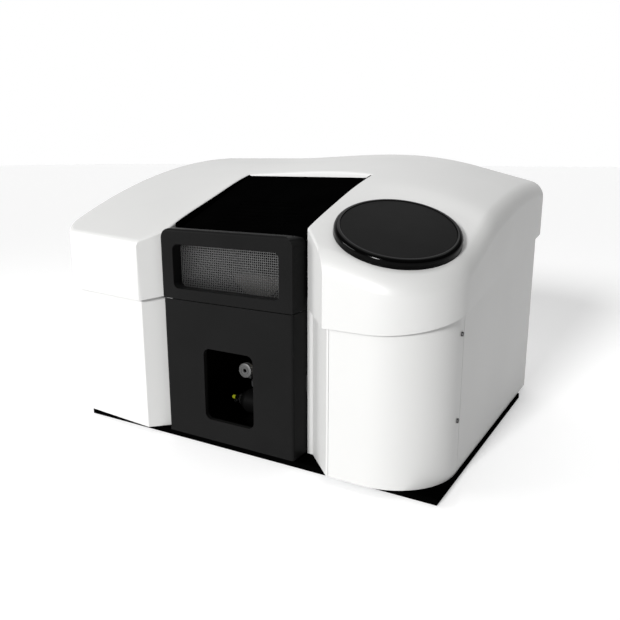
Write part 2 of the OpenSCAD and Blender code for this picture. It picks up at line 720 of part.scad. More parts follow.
module door_hinge_arm() {
    color("#3a3a3a") difference() {
        union() {
            rod_z([door_p.x, door_p.y, arm_z], boss_r, 5);
            box([min(door_p.x - 1, -liner_x + seat), door_p.y, arm_z],
                [max(door_p.x + 9, -liner_x + 3), liner_front + 24, arm_z + 5]);
            box([-liner_x + seat, liner_front + 2, arm_z - 16], [-liner_x + 3, liner_front + 24, arm_z + 5]);
        }
        rod_z([door_p.x, door_p.y, arm_z - 1], door_pin_r, 8);
        box([-liner_x - 10, liner_front - 1, arm_z - 1], [-liner_x + seat, liner_front + 40, arm_z + 6]);
    }
}
module door_pins() {
    color("#b0b0b0") {
        rod_z([door_p.x, door_p.y, deck_z], door_pin_r, door_z0 - deck_z + 13);
        rod_z([door_p.x, door_p.y, arm_z - 16], door_pin_r, 21);
    }
}
catch_z = 130;
catch_h = 30;
module door_catch() {
    color("#303030") box([liner_x + liner_t + seat, frame_back + seat, catch_z],
        [max(door_x + 0.5, liner_x + liner_t + 6), flange_y + 14, catch_z + catch_h]);
}

// Round lid over the lamp bay: a glossy rim with a satin disc let into it
lid_base = -pocket + seat;
rim_soft = 8;
plug_h = 9;
disc_t = 2.5;
web_z = lid_h - disc_t - 5;
module lamp_lid() {
    color("#0a0a0a") on_lid() rotate_extrude($fn = 128) polygon(concat(
        [[lid_bore - 7, lid_base - plug_h], [lid_bore - 5, lid_base - plug_h],
            [lid_bore - 2, lid_base - plug_h + 3], [lid_bore - 2, web_z], [lid_r - 5, web_z],
            [lid_r - 4, web_z - 1], [lid_r - 4, lid_base], [lid_r, lid_base]],
        [for (a = [0:15:90]) [lid_r - rim_soft * (1 - cos(a)), lid_h - rim_soft * (1 - sin(a))]],
        [[disc_r, lid_h], [disc_r, lid_h - disc_t - 1], [0, lid_h - disc_t - 1], [0, web_z],
            [lid_bore - 7, web_z]]));
}
module lid_disc() {
    color("#262626") on_lid() translate([0, 0, lid_h - disc_t - 1]) rotate_extrude($fn = 128)
        polygon([[0, 0], [disc_r - seat, 0], [disc_r - seat, disc_t - 0.6], [disc_r - 1.2, disc_t],
            [0, disc_t + 0.6]]);
}

// Lamp bay: an upright stand with the beam mirror, and the turret with its lamps
stand_x = bay_x + 19;
stand_t = 6;
stand_y0 = lobe_y - 42;
stand_y1 = lobe_y + 140;
stand_z = 200;
lamp_a = asin((beam_y - lobe_y) / lamp_pitch);
active_x = lobe_x - lamp_pitch * cos(lamp_a);
module lamp_stand() {
    color("#9a9a9a") difference() {
        union() {
            along_x(stand_x, stand_t) polygon([[stand_y0, inner_z], [stand_y1, inner_z], [stand_y1, stand_z],
                [beam_y + 40, beam_z + 30], [beam_y - 40, beam_z + 30], [stand_y0, stand_z]]);
            box([stand_x, stand_y0, inner_z], [stand_x + 24, stand_y1, inner_z + 5]);
        }
        rod_x([stand_x - 1, beam_y, beam_z], port_r, 10);
    }
}
mirror_r = 19;
mirror_t = 5;
module at_mirror() { translate([active_x, beam_y, beam_z]) rotate([0, 45, 0]) children(); }
module beam_mirror() {
    color("#dfe6ea") at_mirror() cylinder(r = mirror_r, h = mirror_t);
}
module mirror_bracket() {
    color("#303030") {
        difference() {
            at_mirror() translate([0, 0, 1]) cylinder(r = mirror_r + 3, h = mirror_t + 3);
            at_mirror() cylinder(r = mirror_r + seat, h = mirror_t + seat);
        }
        difference() {
            box([stand_x + stand_t + seat, beam_y - 6, beam_z + 18], [active_x + 8, beam_y + 6, beam_z + 26]);
            at_mirror() translate([0, 0, -40]) cylinder(r = mirror_r + 6, h = 42);
        }
    }
}
turret_r = 88;
motor_h = 46;
shaft_r = 6;
plate_low = lamp_top - lamp_l - 6;
plate_high = lamp_top - 40;
hub_drop = plate_low - inner_z - motor_h - 2 - seat;
module turret_motor() {
    color("#2a2a2a") {
        translate([lobe_x, lobe_y, inner_z]) linear_extrude(motor_h) round_rect(57, 57, 5);
        rod_z([lobe_x, lobe_y, inner_z + motor_h], 11, 2);
        rod_z([lobe_x, lobe_y, inner_z + motor_h], shaft_r, plate_high - inner_z - motor_h);
    }
}
module at_lamps() {
    for (i = [0:lamp_n - 1]) translate([lobe_x, lobe_y, 0]) rotate([0, 0, 180 - lamp_a + 360 * i / lamp_n])
        translate([lamp_pitch, 0, 0]) children();
}
module lamp_turret() {
    color("#b4b4b4") difference() {
        union() {
            rod_z([lobe_x, lobe_y, plate_low - hub_drop], 14, plate_high - plate_low + hub_drop + 12);
            rod_z([lobe_x, lobe_y, plate_low], turret_r, 6);
            rod_z([lobe_x, lobe_y, plate_high], turret_r, 4);
        }
        rod_z([lobe_x, lobe_y, plate_low - hub_drop - 1], shaft_r + run_fit,
            plate_high - plate_low + hub_drop + 2);
        at_lamps() rod_z([0, 0, plate_high - 1], lamp_r + 1, 6);
        at_lamps() rod_z([0, 0, plate_low + 2], lamp_r - 1, 5);
        at_lamps() rod_z([0, 0, plate_low - 1], lamp_r - 6, 5);
    }
}
base_h = 24;
module lamp_bases() {
    color("#1a1a1a") at_lamps() {
        rod_z([0, 0, plate_low + 2 + seat], lamp_r - 1 - seat, base_h);
    }
}
module lamp_tubes() {
    color("#dfe8ea") at_lamps() rod_z([0, 0, plate_low + 2 + seat + base_h], lamp_r, lamp_l - base_h);
}

// Burner assembly on a carriage that a knob raises and lowers
rod_r = 5;
rod_px = 46;
rod_y0 = beam_y + 75;
rod_top = 250;
stem_r = 13;
chamber_z = 58;
chamber_r = 24;
head_top = beam_z - 12;
head_h = 58;
plate_c = 96;
plate_t = 10;
pitch_r = 12;
tooth_n = 12;
knob_x = -24;
knob_z = 129;
knob_front = front_y + 103;
rack_y = beam_y + 38;
rack_t = 8;
addendum = 1.7;
module guide_rods() {
    color("#c4c4c4") for (x = [-rod_px, rod_px]) rod_z([x, rod_y0, deck_z + liner_t], rod_r, rod_top);
    color("#c4c4c4") box([-rod_px - 12, rod_y0 - 9, rod_top + deck_z + liner_t],
        [rod_px + 12, liner_back - liner_t - seat, rod_top + deck_z + liner_t + 8]);
}
module burner_carriage() {
    color("#5a5a5a") difference() {
        union() {
            box([-rod_px - 12, beam_y + 20, plate_c], [rod_px + 12, rod_y0 + 12, plate_c + plate_t]);
            for (x = [-rod_px, rod_px]) rod_z([x, rod_y0, plate_c - 8], rod_r + 5, plate_t + 24);
            rod_z([0, beam_y, plate_c], stem_r + 9, plate_t);
            box([-22, beam_y, plate_c], [22, beam_y + 24, plate_c + plate_t]);
        }
        for (x = [-rod_px, rod_px]) rod_z([x, rod_y0, plate_c - 10], rod_r + run_fit, plate_t + 30);
        rod_z([0, beam_y, plate_c - 1], stem_r + 0.1, plate_t + 2);
        box([knob_x - 19, beam_y + 19, plate_c - 1],
            [knob_x + pitch_r + 3, rack_y + 26, plate_c + plate_t + 1]);
    }
}
// Rack and pinion with straight-sided teeth
tooth_p = 2 * PI * pitch_r / tooth_n;
tooth_w = tooth_p / 2 - 0.6;
rack_x = pitch_r + addendum + 0.6;
rack_w = 6;
rack_z0 = plate_c + plate_t - knob_z;
rack_z1 = 4 * tooth_p;
module rack_plan() {
    tip = pitch_r - addendum;
    polygon(concat([[rack_x, rack_z0], [rack_x + rack_w, rack_z0], [rack_x + rack_w, rack_z1],
            [rack_x, rack_z1]],
        [for (i = [3:-1:-3]) let (c = (i + 0.5) * tooth_p, w = tooth_w / 2)
            each [[rack_x, c + w + 0.5], [tip, c + w - 0.6], [tip, c - w + 0.6], [rack_x, c - w - 0.5]]]));
}
module pinion_plan() {
    circle(pitch_r - addendum - 0.6);
    for (i = [0:tooth_n - 1]) rotate(360 * i / tooth_n)
        polygon([[pitch_r - addendum - 2, -tooth_w / 2 - 0.5], [pitch_r + addendum, -tooth_w / 2 + 0.7],
            [pitch_r + addendum, tooth_w / 2 - 0.7], [pitch_r - addendum - 2, tooth_w / 2 + 0.5]]);
}
module height_rack() {
    color("#b8a060") along_y(rack_y, rack_t) translate([knob_x, knob_z]) rack_plan();
}
shaft_y1 = rack_y + rack_t + 14;
module knob_pinion() {
    color("#b8a060") difference() {
        along_y(rack_y + 0.5, rack_t - 1) translate([knob_x, knob_z]) pinion_plan();
        rod_y([knob_x, rack_y - 1, knob_z], 3, rack_t + 2);
    }
}
knob_r = 14.5;
knob_a = 38;
module height_knob() {
    color("#8c8c8c") difference() {
        union() {
            rod_y([knob_x, knob_front, knob_z], knob_r, 12);
            rod_y([knob_x, knob_front + 12, knob_z], 9, 5);
            rod_y([knob_x, knob_front + 12, knob_z], 3, shaft_y1 - knob_front - 12);
        }
        for (i = [0:17]) translate([knob_x, 0, knob_z]) rotate([0, 20 * i, 0])
            rod_y([knob_r + 0.4, knob_front - 1, 0], 0.9, 11);
        along_y(knob_front - 1, 4) translate([knob_x, knob_z]) rotate(knob_a)
            square([knob_r * 0.2, knob_r * 1.2], center = true);
    }
}
bearing_y = [rack_y - 12, shaft_y1 - 8];
bearing_t = 5;
liner_floor = deck_z + liner_t;
module knob_bracket() {
    color("#404040") difference() {
        union() {
            for (y = bearing_y)
                box([knob_x - 9, y, liner_floor], [knob_x + 7, y + bearing_t, knob_z + 9]);
            box([knob_x - 9, bearing_y[0], liner_floor], [knob_x + 7, shaft_y1 + 16, liner_floor + 4]);
        }
        rod_y([knob_x, bearing_y[0] - 1, knob_z], 3 + run_fit, shaft_y1 - rack_y + 20);
    }
}
stem_z0 = chamber_z + chamber_r - 2;
module burner_stem() {
    color("#a8a8a8") difference() {
        union() {
            rod_z([0, beam_y, stem_z0], stem_r, head_top - head_h - stem_z0);
            rod_z([0, beam_y, plate_c + plate_t + seat], stem_r + 5, 8);
        }
        rod_x([-50, beam_y, chamber_z], chamber_r + seat, 100);
    }
}
module burner_head() {
    color("#8f9296") difference() {
        union() {
            along_y(beam_y - 12, 24) polygon([[-16, head_top - head_h + seat], [16, head_top - head_h + seat],
                [16, head_top - head_h + 14], [55, head_top - 16], [55, head_top - 3], [-55, head_top - 3],
                [-55, head_top - 16], [-16, head_top - head_h + 14]]);
            along_x(-55, 110) translate([beam_y, 0]) polygon([[-12, head_top - 8], [12, head_top - 8],
                [12, head_top - 4], [5, head_top], [-5, head_top], [-12, head_top - 4]]);
        }
        box([-50, beam_y - 0.6, head_top - 12], [50, beam_y + 0.6, head_top + 1]);
    }
}
chamber_x0 = -31;
chamber_x1 = 62;
module spray_chamber() {
    color("#2e2e30") difference() {
        union() {
            rod_x([chamber_x0, beam_y, chamber_z], chamber_r, chamber_x1 - chamber_x0);
            rod_x([chamber_x1, beam_y, chamber_z], chamber_r + 3, 8);
            rod_x([chamber_x1 + 8, beam_y, chamber_z - 10], 5, 14);
            translate([chamber_x0 - 16, beam_y, chamber_z]) rotate([0, 90, 0])
                cylinder(r1 = 14, r2 = chamber_r, h = 16);
        }
        rod_x([chamber_x0 - 17, beam_y, chamber_z], 9, 20);
    }
}
module nebuliser() {
    color("#3c3c3e") {
        rod_x([chamber_x0 - 30, beam_y, chamber_z], 9 - seat, 32);
        translate([chamber_x0 - 36, beam_y, chamber_z]) rotate([0, 90, 0])
            cylinder(r1 = 4, r2 = 9 - seat, h = 6);
        rod_y([chamber_x0 - 24, beam_y - 18, chamber_z], 3.5, 12);
    }
}
module capillary_tip() {
    color("#b8c832") rod_x([chamber_x0 - 44, beam_y, chamber_z], 2.6, 8);
}

// Monochromator and detector in the left lobe
mono_x0 = -half_w + 15;
mono_x1 = -bay_x - 24;
mono_y0 = front_y + 55;
mono_y1 = front_y + 400;
mono_z0 = 232;
mono_z1 = 372;
mono_wall = 4;
module monochromator_stand() {
    color("#a0a0a0") {
        box([mono_x0 + 20, mono_y0 + 10, mono_z0 - 8], [mono_x1, mono_y1, mono_z0]);
        for (x = [mono_x0 + 50, mono_x1 - 16]) for (y = [mono_y0 + 40, mono_y1 - 40])
            rod_z([x, y, inner_z], 12, mono_z0 - 8 - inner_z);
    }
}
module monochromator_case() {
    color("#202020") difference() {
        box([mono_x0, mono_y0, mono_z0], [mono_x1, mono_y1, mono_z1 - mono_wall]);
        box([mono_x0 + mono_wall, mono_y0 + mono_wall, mono_z0 + mono_wall],
            [mono_x1 - mono_wall, mono_y1 - mono_wall, mono_z1 + 1]);
        box([mono_x1 - 10, beam_y - 1, beam_z - 9], [mono_x1 + 1, beam_y + 1, beam_z + 9]);
        box([mono_x0 + 120, mono_y1 - 10, beam_z - 9], [mono_x0 + 122, mono_y1 + 1, beam_z + 9]);
        rod_z([table_p.x, table_p.y, mono_z0 - 1], 5 + run_fit, mono_wall + 2);
    }
}
module monochromator_lid() {
    color("#2c2c2c") box([mono_x0, mono_y0, mono_z1 - mono_wall], [mono_x1, mono_y1, mono_z1]);
}
table_p = [mono_x0 + 80, mono_y0 + 90];
module grating_table() {
    color("#b0b0b0") {
        rod_z([table_p.x, table_p.y, mono_z0 + seat], 5, mono_wall + 4);
        rod_z([table_p.x, table_p.y, mono_z0 + mono_wall + seat], 34, 12);
        rod_z([table_p.x, table_p.y, mono_z0 + mono_wall + seat], 12, beam_z - mono_z0 - 30);
        box([table_p.x - 4, table_p.y - 27, mono_z0 + 30], [table_p.x + 6, table_p.y + 27, beam_z - 26]);
    }
}
module grating() {
    color("#c8b8e0") box([table_p.x - 4, table_p.y - 25, beam_z - 26 + seat],
        [table_p.x + 6, table_p.y + 25, beam_z + 25]);
}
module detector_housing() {
    color("#303030") {
        box([mono_x0 + 90, mono_y1 + seat, beam_z - 40], [mono_x0 + 154, mono_y1 + 50, beam_z + 30]);
        rod_z([mono_x0 + 122, mono_y1 + 26, beam_z + 30], 20, 16);
    }
}

// Supplies at the rear
supply_x1 = half_w - 50;
supply_y1 = half_d - 90;
module power_supply() {
    color("#b8b8b8") box([supply_x1 - 150, supply_y1 - 105, inner_z], [supply_x1, supply_y1, inner_z + 90]);
}
gas_y0 = liner_back + 30;
gas_w = 220;
module gas_box() {
    color("#c0c0c0") box([-gas_w / 2, gas_y0, inner_z], [gas_w / 2, gas_y0 + gas_w / 2, inner_z + 136]);
}
module gas_pipes() {
    color("#b87333") for (x = [-30, 30])
        rod_y([x, liner_back - liner_t - 8, 110], 4, gas_y0 - liner_back + liner_t + 8 - seat);
}

base_plate();
foot_pads();
floor_pan();
left_cover();
right_cover();
bay_side_cover();
bay_trim();
lamp_access_panel();
panel_screws();
rear_panel();
top_cover();
bay_liner();
beam_port_rings();
beam_windows();
hinge_mount();
hood_hinge_pins();
hood_frame();
hood_grille();
hood_plate();
front_door();
door_hinge_arm();
door_pins();
door_catch();
lamp_lid();
lid_disc();
lamp_stand();
beam_mirror();
mirror_bracket();
turret_motor();
lamp_turret();
lamp_tubes();
lamp_bases();
guide_rods();
burner_carriage();
burner_stem();
burner_head();
spray_chamber();
nebuliser();
capillary_tip();
height_rack();
knob_bracket();
height_knob();
knob_pinion();
monochromator_stand();
monochromator_case();
monochromator_lid();
grating_table();
grating();
detector_housing();
power_supply();
gas_box();
gas_pipes();
fan_frame();
fan_rotor();
fan_guard();
mains_inlet();
power_rocker();
gas_fittings();
data_port();
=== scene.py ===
# Looks for a bench atomic absorption spectrophotometer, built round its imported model.
# Lengths are in metres and in the model's own frame: X right, Y back, Z up.
import json
from math import acos, asin, atan, atan2, ceil, cos, pi, radians, sin, sqrt, tan

import bmesh
import bpy
from mathutils import Euler, Matrix, Vector


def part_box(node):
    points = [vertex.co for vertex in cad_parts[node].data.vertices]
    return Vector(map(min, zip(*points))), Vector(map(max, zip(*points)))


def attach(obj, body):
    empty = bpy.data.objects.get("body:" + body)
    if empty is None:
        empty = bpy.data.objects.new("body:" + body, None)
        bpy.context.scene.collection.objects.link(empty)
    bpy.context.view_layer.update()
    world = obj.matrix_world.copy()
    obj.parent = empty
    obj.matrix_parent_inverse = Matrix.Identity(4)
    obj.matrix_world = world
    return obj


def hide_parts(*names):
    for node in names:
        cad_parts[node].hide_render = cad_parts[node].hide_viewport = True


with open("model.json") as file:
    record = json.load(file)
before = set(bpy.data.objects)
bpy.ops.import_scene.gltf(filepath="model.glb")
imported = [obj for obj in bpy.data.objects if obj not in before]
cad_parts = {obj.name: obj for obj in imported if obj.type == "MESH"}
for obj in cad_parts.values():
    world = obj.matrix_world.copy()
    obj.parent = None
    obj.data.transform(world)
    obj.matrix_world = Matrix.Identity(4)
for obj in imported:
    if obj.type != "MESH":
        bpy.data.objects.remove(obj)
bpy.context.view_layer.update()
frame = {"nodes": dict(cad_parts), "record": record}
print("frame loaded with", len(frame["nodes"]), "nodes")


# Camera, floor and studio light

studio = {
    "cameraPlace": (0.6995, -1.2118, 0.5355),
    "cameraPitch": 76.87,  # degrees from straight down
    "cameraTurn": 30.18,
    "lens": 38.0,
    "floorSize": 40.0,
    "floorColour": "#dcdcdc",
    "floorLift": 0.36,  # a faint glow, as paper lit from below
    "floorSink": 0.0004,  # below the feet
    "backdropWay": (-0.5, 0.866, 0.0),  # the white backdrop lies this way
    "backdropLevel": 1.0,
    "roomLevel": 0.05,  # all other sides are dimmer
    "ceilingLevel": 0.35,
    "ceilingFrom": 0.35,  # height on the sky's unit sphere
    "horizonLevel": 0.72,  # a low pale band all round, where the floor meets the sky
    "horizonFade": (0.13, 0.26),
    "backdropFade": (0.5, 0.86),  # how squarely a way must face the backdrop to see it
    "sunFrom": (-0.08, -1.0, 0.36),
    "sunStrength": 4.3,
    "sunSize": 12.0,  # degrees, so shadows are soft
    "panelPlace": (-1.6, -1.4, 1.0),  # the soft box that the glossy rims mirror
    "panelTarget": (0.1, -0.2, 0.3),
    "panelSize": (1.1, 0.25),
    "panelPower": 17.0,
    "topPlace": (0.1, 0.2, 1.4),  # a second one hangs over the roof
    "topTarget": (0.0, 0.1, 0.4),
    "topSize": 1.1,
    "topPower": 5.0,
}


def linearColour(code):
    parts = [int(code[i:i + 2], 16) / 255 for i in (1, 3, 5)]
    return tuple(c / 12.92 if c <= 0.04045 else ((c + 0.055) / 1.055) ** 2.4 for c in parts) + (1.0,)


def addNode(tree, kind, settings, inputs):
    new = tree.nodes.new(kind)
    for name, value in settings.items():
        setattr(new, name, value)
    for name, value in inputs.items():
        if isinstance(value, bpy.types.NodeSocket):
            tree.links.new(value, new.inputs[name])
        else:
            new.inputs[name].default_value = value
    return new


def aimAt(thing, place, target):
    thing.location = place
    thing.rotation_euler = (Vector(target) - Vector(place)).to_track_quat("-Z", "Y").to_euler()
    bpy.context.scene.collection.objects.link(thing)


def makeStudio(s):
    lens = bpy.data.cameras.new("photoCamera")
    lens.lens = s["lens"]
    lens.sensor_width = 36.0
    camera = bpy.data.objects.new("photoCamera", lens)
    camera.location = s["cameraPlace"]
    camera.rotation_euler = (radians(s["cameraPitch"]), 0.0, radians(s["cameraTurn"]))
    bpy.context.scene.collection.objects.link(camera)
    bpy.context.scene.camera = camera

    sun = bpy.data.lights.new("windowLight", "SUN")
    sun.energy = s["sunStrength"]
    sun.angle = radians(s["sunSize"])
    aimAt(bpy.data.objects.new("windowLight", sun), s["sunFrom"], (0, 0, 0))

    panel = bpy.data.lights.new("softBox", "AREA")
    panel.shape = "RECTANGLE"
    panel.size, panel.size_y = s["panelSize"]
    panel.energy = s["panelPower"]
    aimAt(bpy.data.objects.new("softBox", panel), s["panelPlace"], s["panelTarget"])
    top = bpy.data.lights.new("topBox", "AREA")
    top.size = s["topSize"]
    top.energy = s["topPower"]
    aimAt(bpy.data.objects.new("topBox", top), s["topPlace"], s["topTarget"])

    world = bpy.data.worlds.new("studioSky")
    bpy.context.scene.world = world
    world.use_nodes = True
    tree = world.node_tree
    tree.nodes.clear()
    where = addNode(tree, "ShaderNodeTexCoord", {}, {})
    facing = addNode(tree, "ShaderNodeVectorMath", {"operation": "DOT_PRODUCT"}, {
        0: where.outputs["Generated"], 1: s["backdropWay"]})
    axes = addNode(tree, "ShaderNodeSeparateXYZ", {}, {0: where.outputs["Generated"]})
    overhead = addNode(tree, "ShaderNodeMapRange", {}, {
        "Value": axes.outputs["Z"], "From Min": s["ceilingFrom"],
        "To Min": s["roomLevel"], "To Max": s["ceilingLevel"]})
    haze = addNode(tree, "ShaderNodeMapRange", {}, {
        "Value": axes.outputs["Z"], "From Min": s["horizonFade"][0], "From Max": s["horizonFade"][1],
        "To Min": s["horizonLevel"], "To Max": 0.0})
    around = addNode(tree, "ShaderNodeMath", {"operation": "ADD"}, {
        0: overhead.outputs["Result"], 1: haze.outputs["Result"]})
    level = addNode(tree, "ShaderNodeMapRange", {"interpolation_type": "SMOOTHSTEP"}, {
        "Value": facing.outputs["Value"],
        "From Min": s["backdropFade"][0], "From Max": s["backdropFade"][1],
        "To Min": around.outputs["Value"], "To Max": s["backdropLevel"]})
    glow = addNode(tree, "ShaderNodeBackground", {}, {
        "Color": (1, 1, 1, 1), "Strength": level.outputs["Result"]})
    addNode(tree, "ShaderNodeOutputWorld", {}, {"Surface": glow.outputs[0]})

    bm = bmesh.new()
    bmesh.ops.create_grid(bm, x_segments=1, y_segments=1, size=s["floorSize"])
    bmesh.ops.translate(bm, verts=bm.verts, vec=(0, 0, -s["floorSink"]))
    mesh = bpy.data.meshes.new("studioFloor")
    bm.to_mesh(mesh)
    bm.free()
    floor = bpy.data.objects.new("studioFloor", mesh)
    bpy.context.scene.collection.objects.link(floor)
    paper = bpy.data.materials.new("studioPaper")
    paper.use_nodes = True
    paper.node_tree.nodes.clear()
    flat = addNode(paper.node_tree, "ShaderNodeBsdfPrincipled", {}, {
        "Base Color": linearColour(s["floorColour"]), "Roughness": 0.9,
        "Emission Color": (1, 1, 1, 1), "Emission Strength": s["floorLift"]})
    addNode(paper.node_tree, "ShaderNodeOutputMaterial", {}, {"Surface": flat.outputs[0]})
    mesh.materials.append(paper)


makeStudio(studio)
bpy.context.scene.view_settings.view_transform = "Standard"
print("studio made")


# Finishes. Sizes of patterns are in millimetres.

finishes = {
    # spark-eroded mould texture: breaks the highlight up a little, soft wide gloss
    "mouldedWhiteAbs": {
        "colours": ("#b5b5b4", "#b1b1b0"), "patch": 160.0, "roughness": (0.36, 0.44),
        "grain": 0.9, "height": 0.012, "ior": 1.53},
    # powder coat on steel sheet: faint orange peel under a soft gloss
    "whitePowderCoat": {
        "colours": ("#b5b5b4", "#b1b1b0"), "patch": 220.0, "roughness": (0.34, 0.42),
        "grain": 2.2, "height": 0.02, "ior": 1.5},
    # satin black powder coat on the hood, the door and the dark boxes inside
    "blackPowderCoat": {
        "colours": ("#121212", "#161616"), "patch": 90.0, "roughness": (0.3, 0.36),
        "grain": 1.6, "height": 0.006, "ior": 1.5, "specular": 0.02},
    # flat black enamel on the base and the plate behind the hood
    "flatBlackEnamel": {
        "colours": ("#010101", "#030303"), "patch": 60.0, "roughness": (0.6, 0.7),
        "grain": 1.2, "height": 0.01, "ior": 1.5, "specular": 0.0},
    # polished black ABS rim of the lamp lid: mirrors the soft box
    "polishedBlackAbs": {
        "colours": ("#010101", "#020202"), "patch": 80.0, "roughness": (0.10, 0.14),
        "grain": 3.0, "height": 0.002, "ior": 1.53, "specular": 0.06},
    # fine matt mould texture on the lid disc
    "satinBlackAbs": {
        "colours": ("#060606", "#080808"), "patch": 45.0, "roughness": (0.48, 0.56),
        "grain": 0.9, "height": 0.02, "ior": 1.53, "specular": 0.04},
    # moulded black polyamide for switches, fan and lamp caps
    "mouldedPolyamide": {
        "colours": ("#141414", "#191919"), "patch": 30.0, "roughness": (0.45, 0.6),
        "grain": 0.8, "height": 0.02, "ior": 1.53},
    # black oxide on the two screws of the right side
    "blackOxideSteel": {
        "colours": ("#4a4a4a", "#3a3a3a"), "patch": 3.0, "roughness": (0.4, 0.55),
        "grain": 0.6, "height": 0.006, "metallic": 1.0},
    # glass filled grey polyamide of the nebuliser
    "greyPolyamide": {
        "colours": ("#3e3e3e", "#343434"), "patch": 12.0, "roughness": (0.4, 0.5),
        "grain": 0.6, "height": 0.01, "ior": 1.53},
    # soft rubber feet
    "mouldedRubber": {
        "colours": ("#161616", "#1c1c1c"), "patch": 12.0, "roughness": (0.78, 0.9),
        "grain": 1.0, "height": 0.04, "ior": 1.52},
    # zinc plated sheet and screws: mottled grey shine
    "zincPlatedSteel": {
        "colours": ("#b9bbbd", "#a5a8aa"), "patch": 9.0, "roughness": (0.28, 0.42),
        "grain": 1.5, "height": 0.004, "metallic": 1.0},
    # heat-darkened stainless liner
    "blackenedStainless": {
        "colours": ("#060606", "#0a0a0a"), "patch": 35.0, "roughness": (0.5, 0.62),
        "grain": 1.3, "height": 0.008, "ior": 1.5, "specular": 0.1},
    # stainless wire cloth, dulled
    "stainlessWire": {
        "colours": ("#7c7c7c", "#606060"), "patch": 4.0, "roughness": (0.36, 0.5),
        "grain": 0.7, "height": 0.006, "metallic": 1.0},
    # bead-blasted and anodised aluminium plates and brackets
    "anodisedAluminium": {
        "colours": ("#a9abad", "#9c9ea0"), "patch": 22.0, "roughness": (0.36, 0.46),
        "grain": 0.6, "height": 0.01, "metallic": 1.0},
    # ground and chromed guide rods and wire guard
    "groundChromeSteel": {
        "colours": ("#cfd1d3", "#c4c6c8"), "patch": 14.0, "roughness": (0.10, 0.17),
        "grain": 0.6, "height": 0.002, "metallic": 1.0, "stretch": (1, 1, 14)},
    # machined titanium burner head and stem: warm grey, fine tool lines
    "machinedTitanium": {
        "colours": ("#8b8782", "#7d7974"), "patch": 10.0, "roughness": (0.30, 0.42),
        "grain": 0.7, "height": 0.01, "metallic": 1.0, "stretch": (0.05, 1, 1)},
    # turned grey knob, bead blasted
    "turnedGreyAluminium": {
        "colours": ("#5e5e5e", "#525252"), "patch": 5.0, "roughness": (0.42, 0.55),
        "grain": 0.5, "height": 0.02, "metallic": 0.35},
    # drawn brass rack, pinion and hose connections
    "drawnBrass": {
        "colours": ("#c6a04c", "#b38d3c"), "patch": 7.0, "roughness": (0.22, 0.34),
        "grain": 0.6, "height": 0.006, "metallic": 1.0},
    # drawn copper gas pipe, slightly oxidised
    "drawnCopper": {
        "colours": ("#b87350", "#9d5f3f"), "patch": 9.0, "roughness": (0.26, 0.4),
        "grain": 0.7, "height": 0.006, "metallic": 1.0},
    # fused silica windows
    "polishedQuartz": {
        "colours": ("#f4f8fa", "#f4f8fa"), "patch": 20.0, "roughness": (0.01, 0.02),
        "grain": 5.0, "height": 0.0, "ior": 1.46, "clear": 1.0},
    # blown borosilicate glass of the lamps
    "blownGlass": {
        "colours": ("#eef4f2", "#eef4f2"), "patch": 20.0, "roughness": (0.02, 0.04),
        "grain": 14.0, "height": 0.05, "ior": 1.47, "clear": 1.0},
    # nickel wire and cup inside the lamps
    "drawnNickel": {
        "colours": ("#b4b0a8", "#a39f97"), "patch": 6.0, "roughness": (0.22, 0.32),
        "grain": 0.5, "height": 0.003, "metallic": 1.0},
    # fired ceramic discs and stems inside the lamps
    "firedCeramic": {
        "colours": ("#dcd9d0", "#cfccc2"), "patch": 8.0, "roughness": (0.6, 0.7),
        "grain": 0.4, "height": 0.008, "ior": 1.55},
    # evaporated aluminium mirror
    "evaporatedMirror": {
        "colours": ("#e6e9eb", "#e2e5e8"), "patch": 30.0, "roughness": (0.02, 0.03),
        "grain": 5.0, "height": 0.0, "metallic": 1.0},
    # ruled grating: mirror with a violet cast
    "ruledGrating": {
        "colours": ("#cdbfe4", "#b7c6e6"), "patch": 16.0, "roughness": (0.08, 0.14),
        "grain": 0.5, "height": 0.01, "metallic": 1.0, "stretch": (1, 8, 0.05)},
    # yellow-green polypropylene tip on the nebuliser, with a faint painted glow: painted light that
    # brightens it in the shade of the door
    "mouldedTipPlastic": {
        "colours": ("#d8e23a", "#ccd630"), "patch": 6.0, "roughness": (0.3, 0.4),
        "grain": 0.8, "height": 0.01, "ior": 1.49, "paintedGlow": 0.3},
}


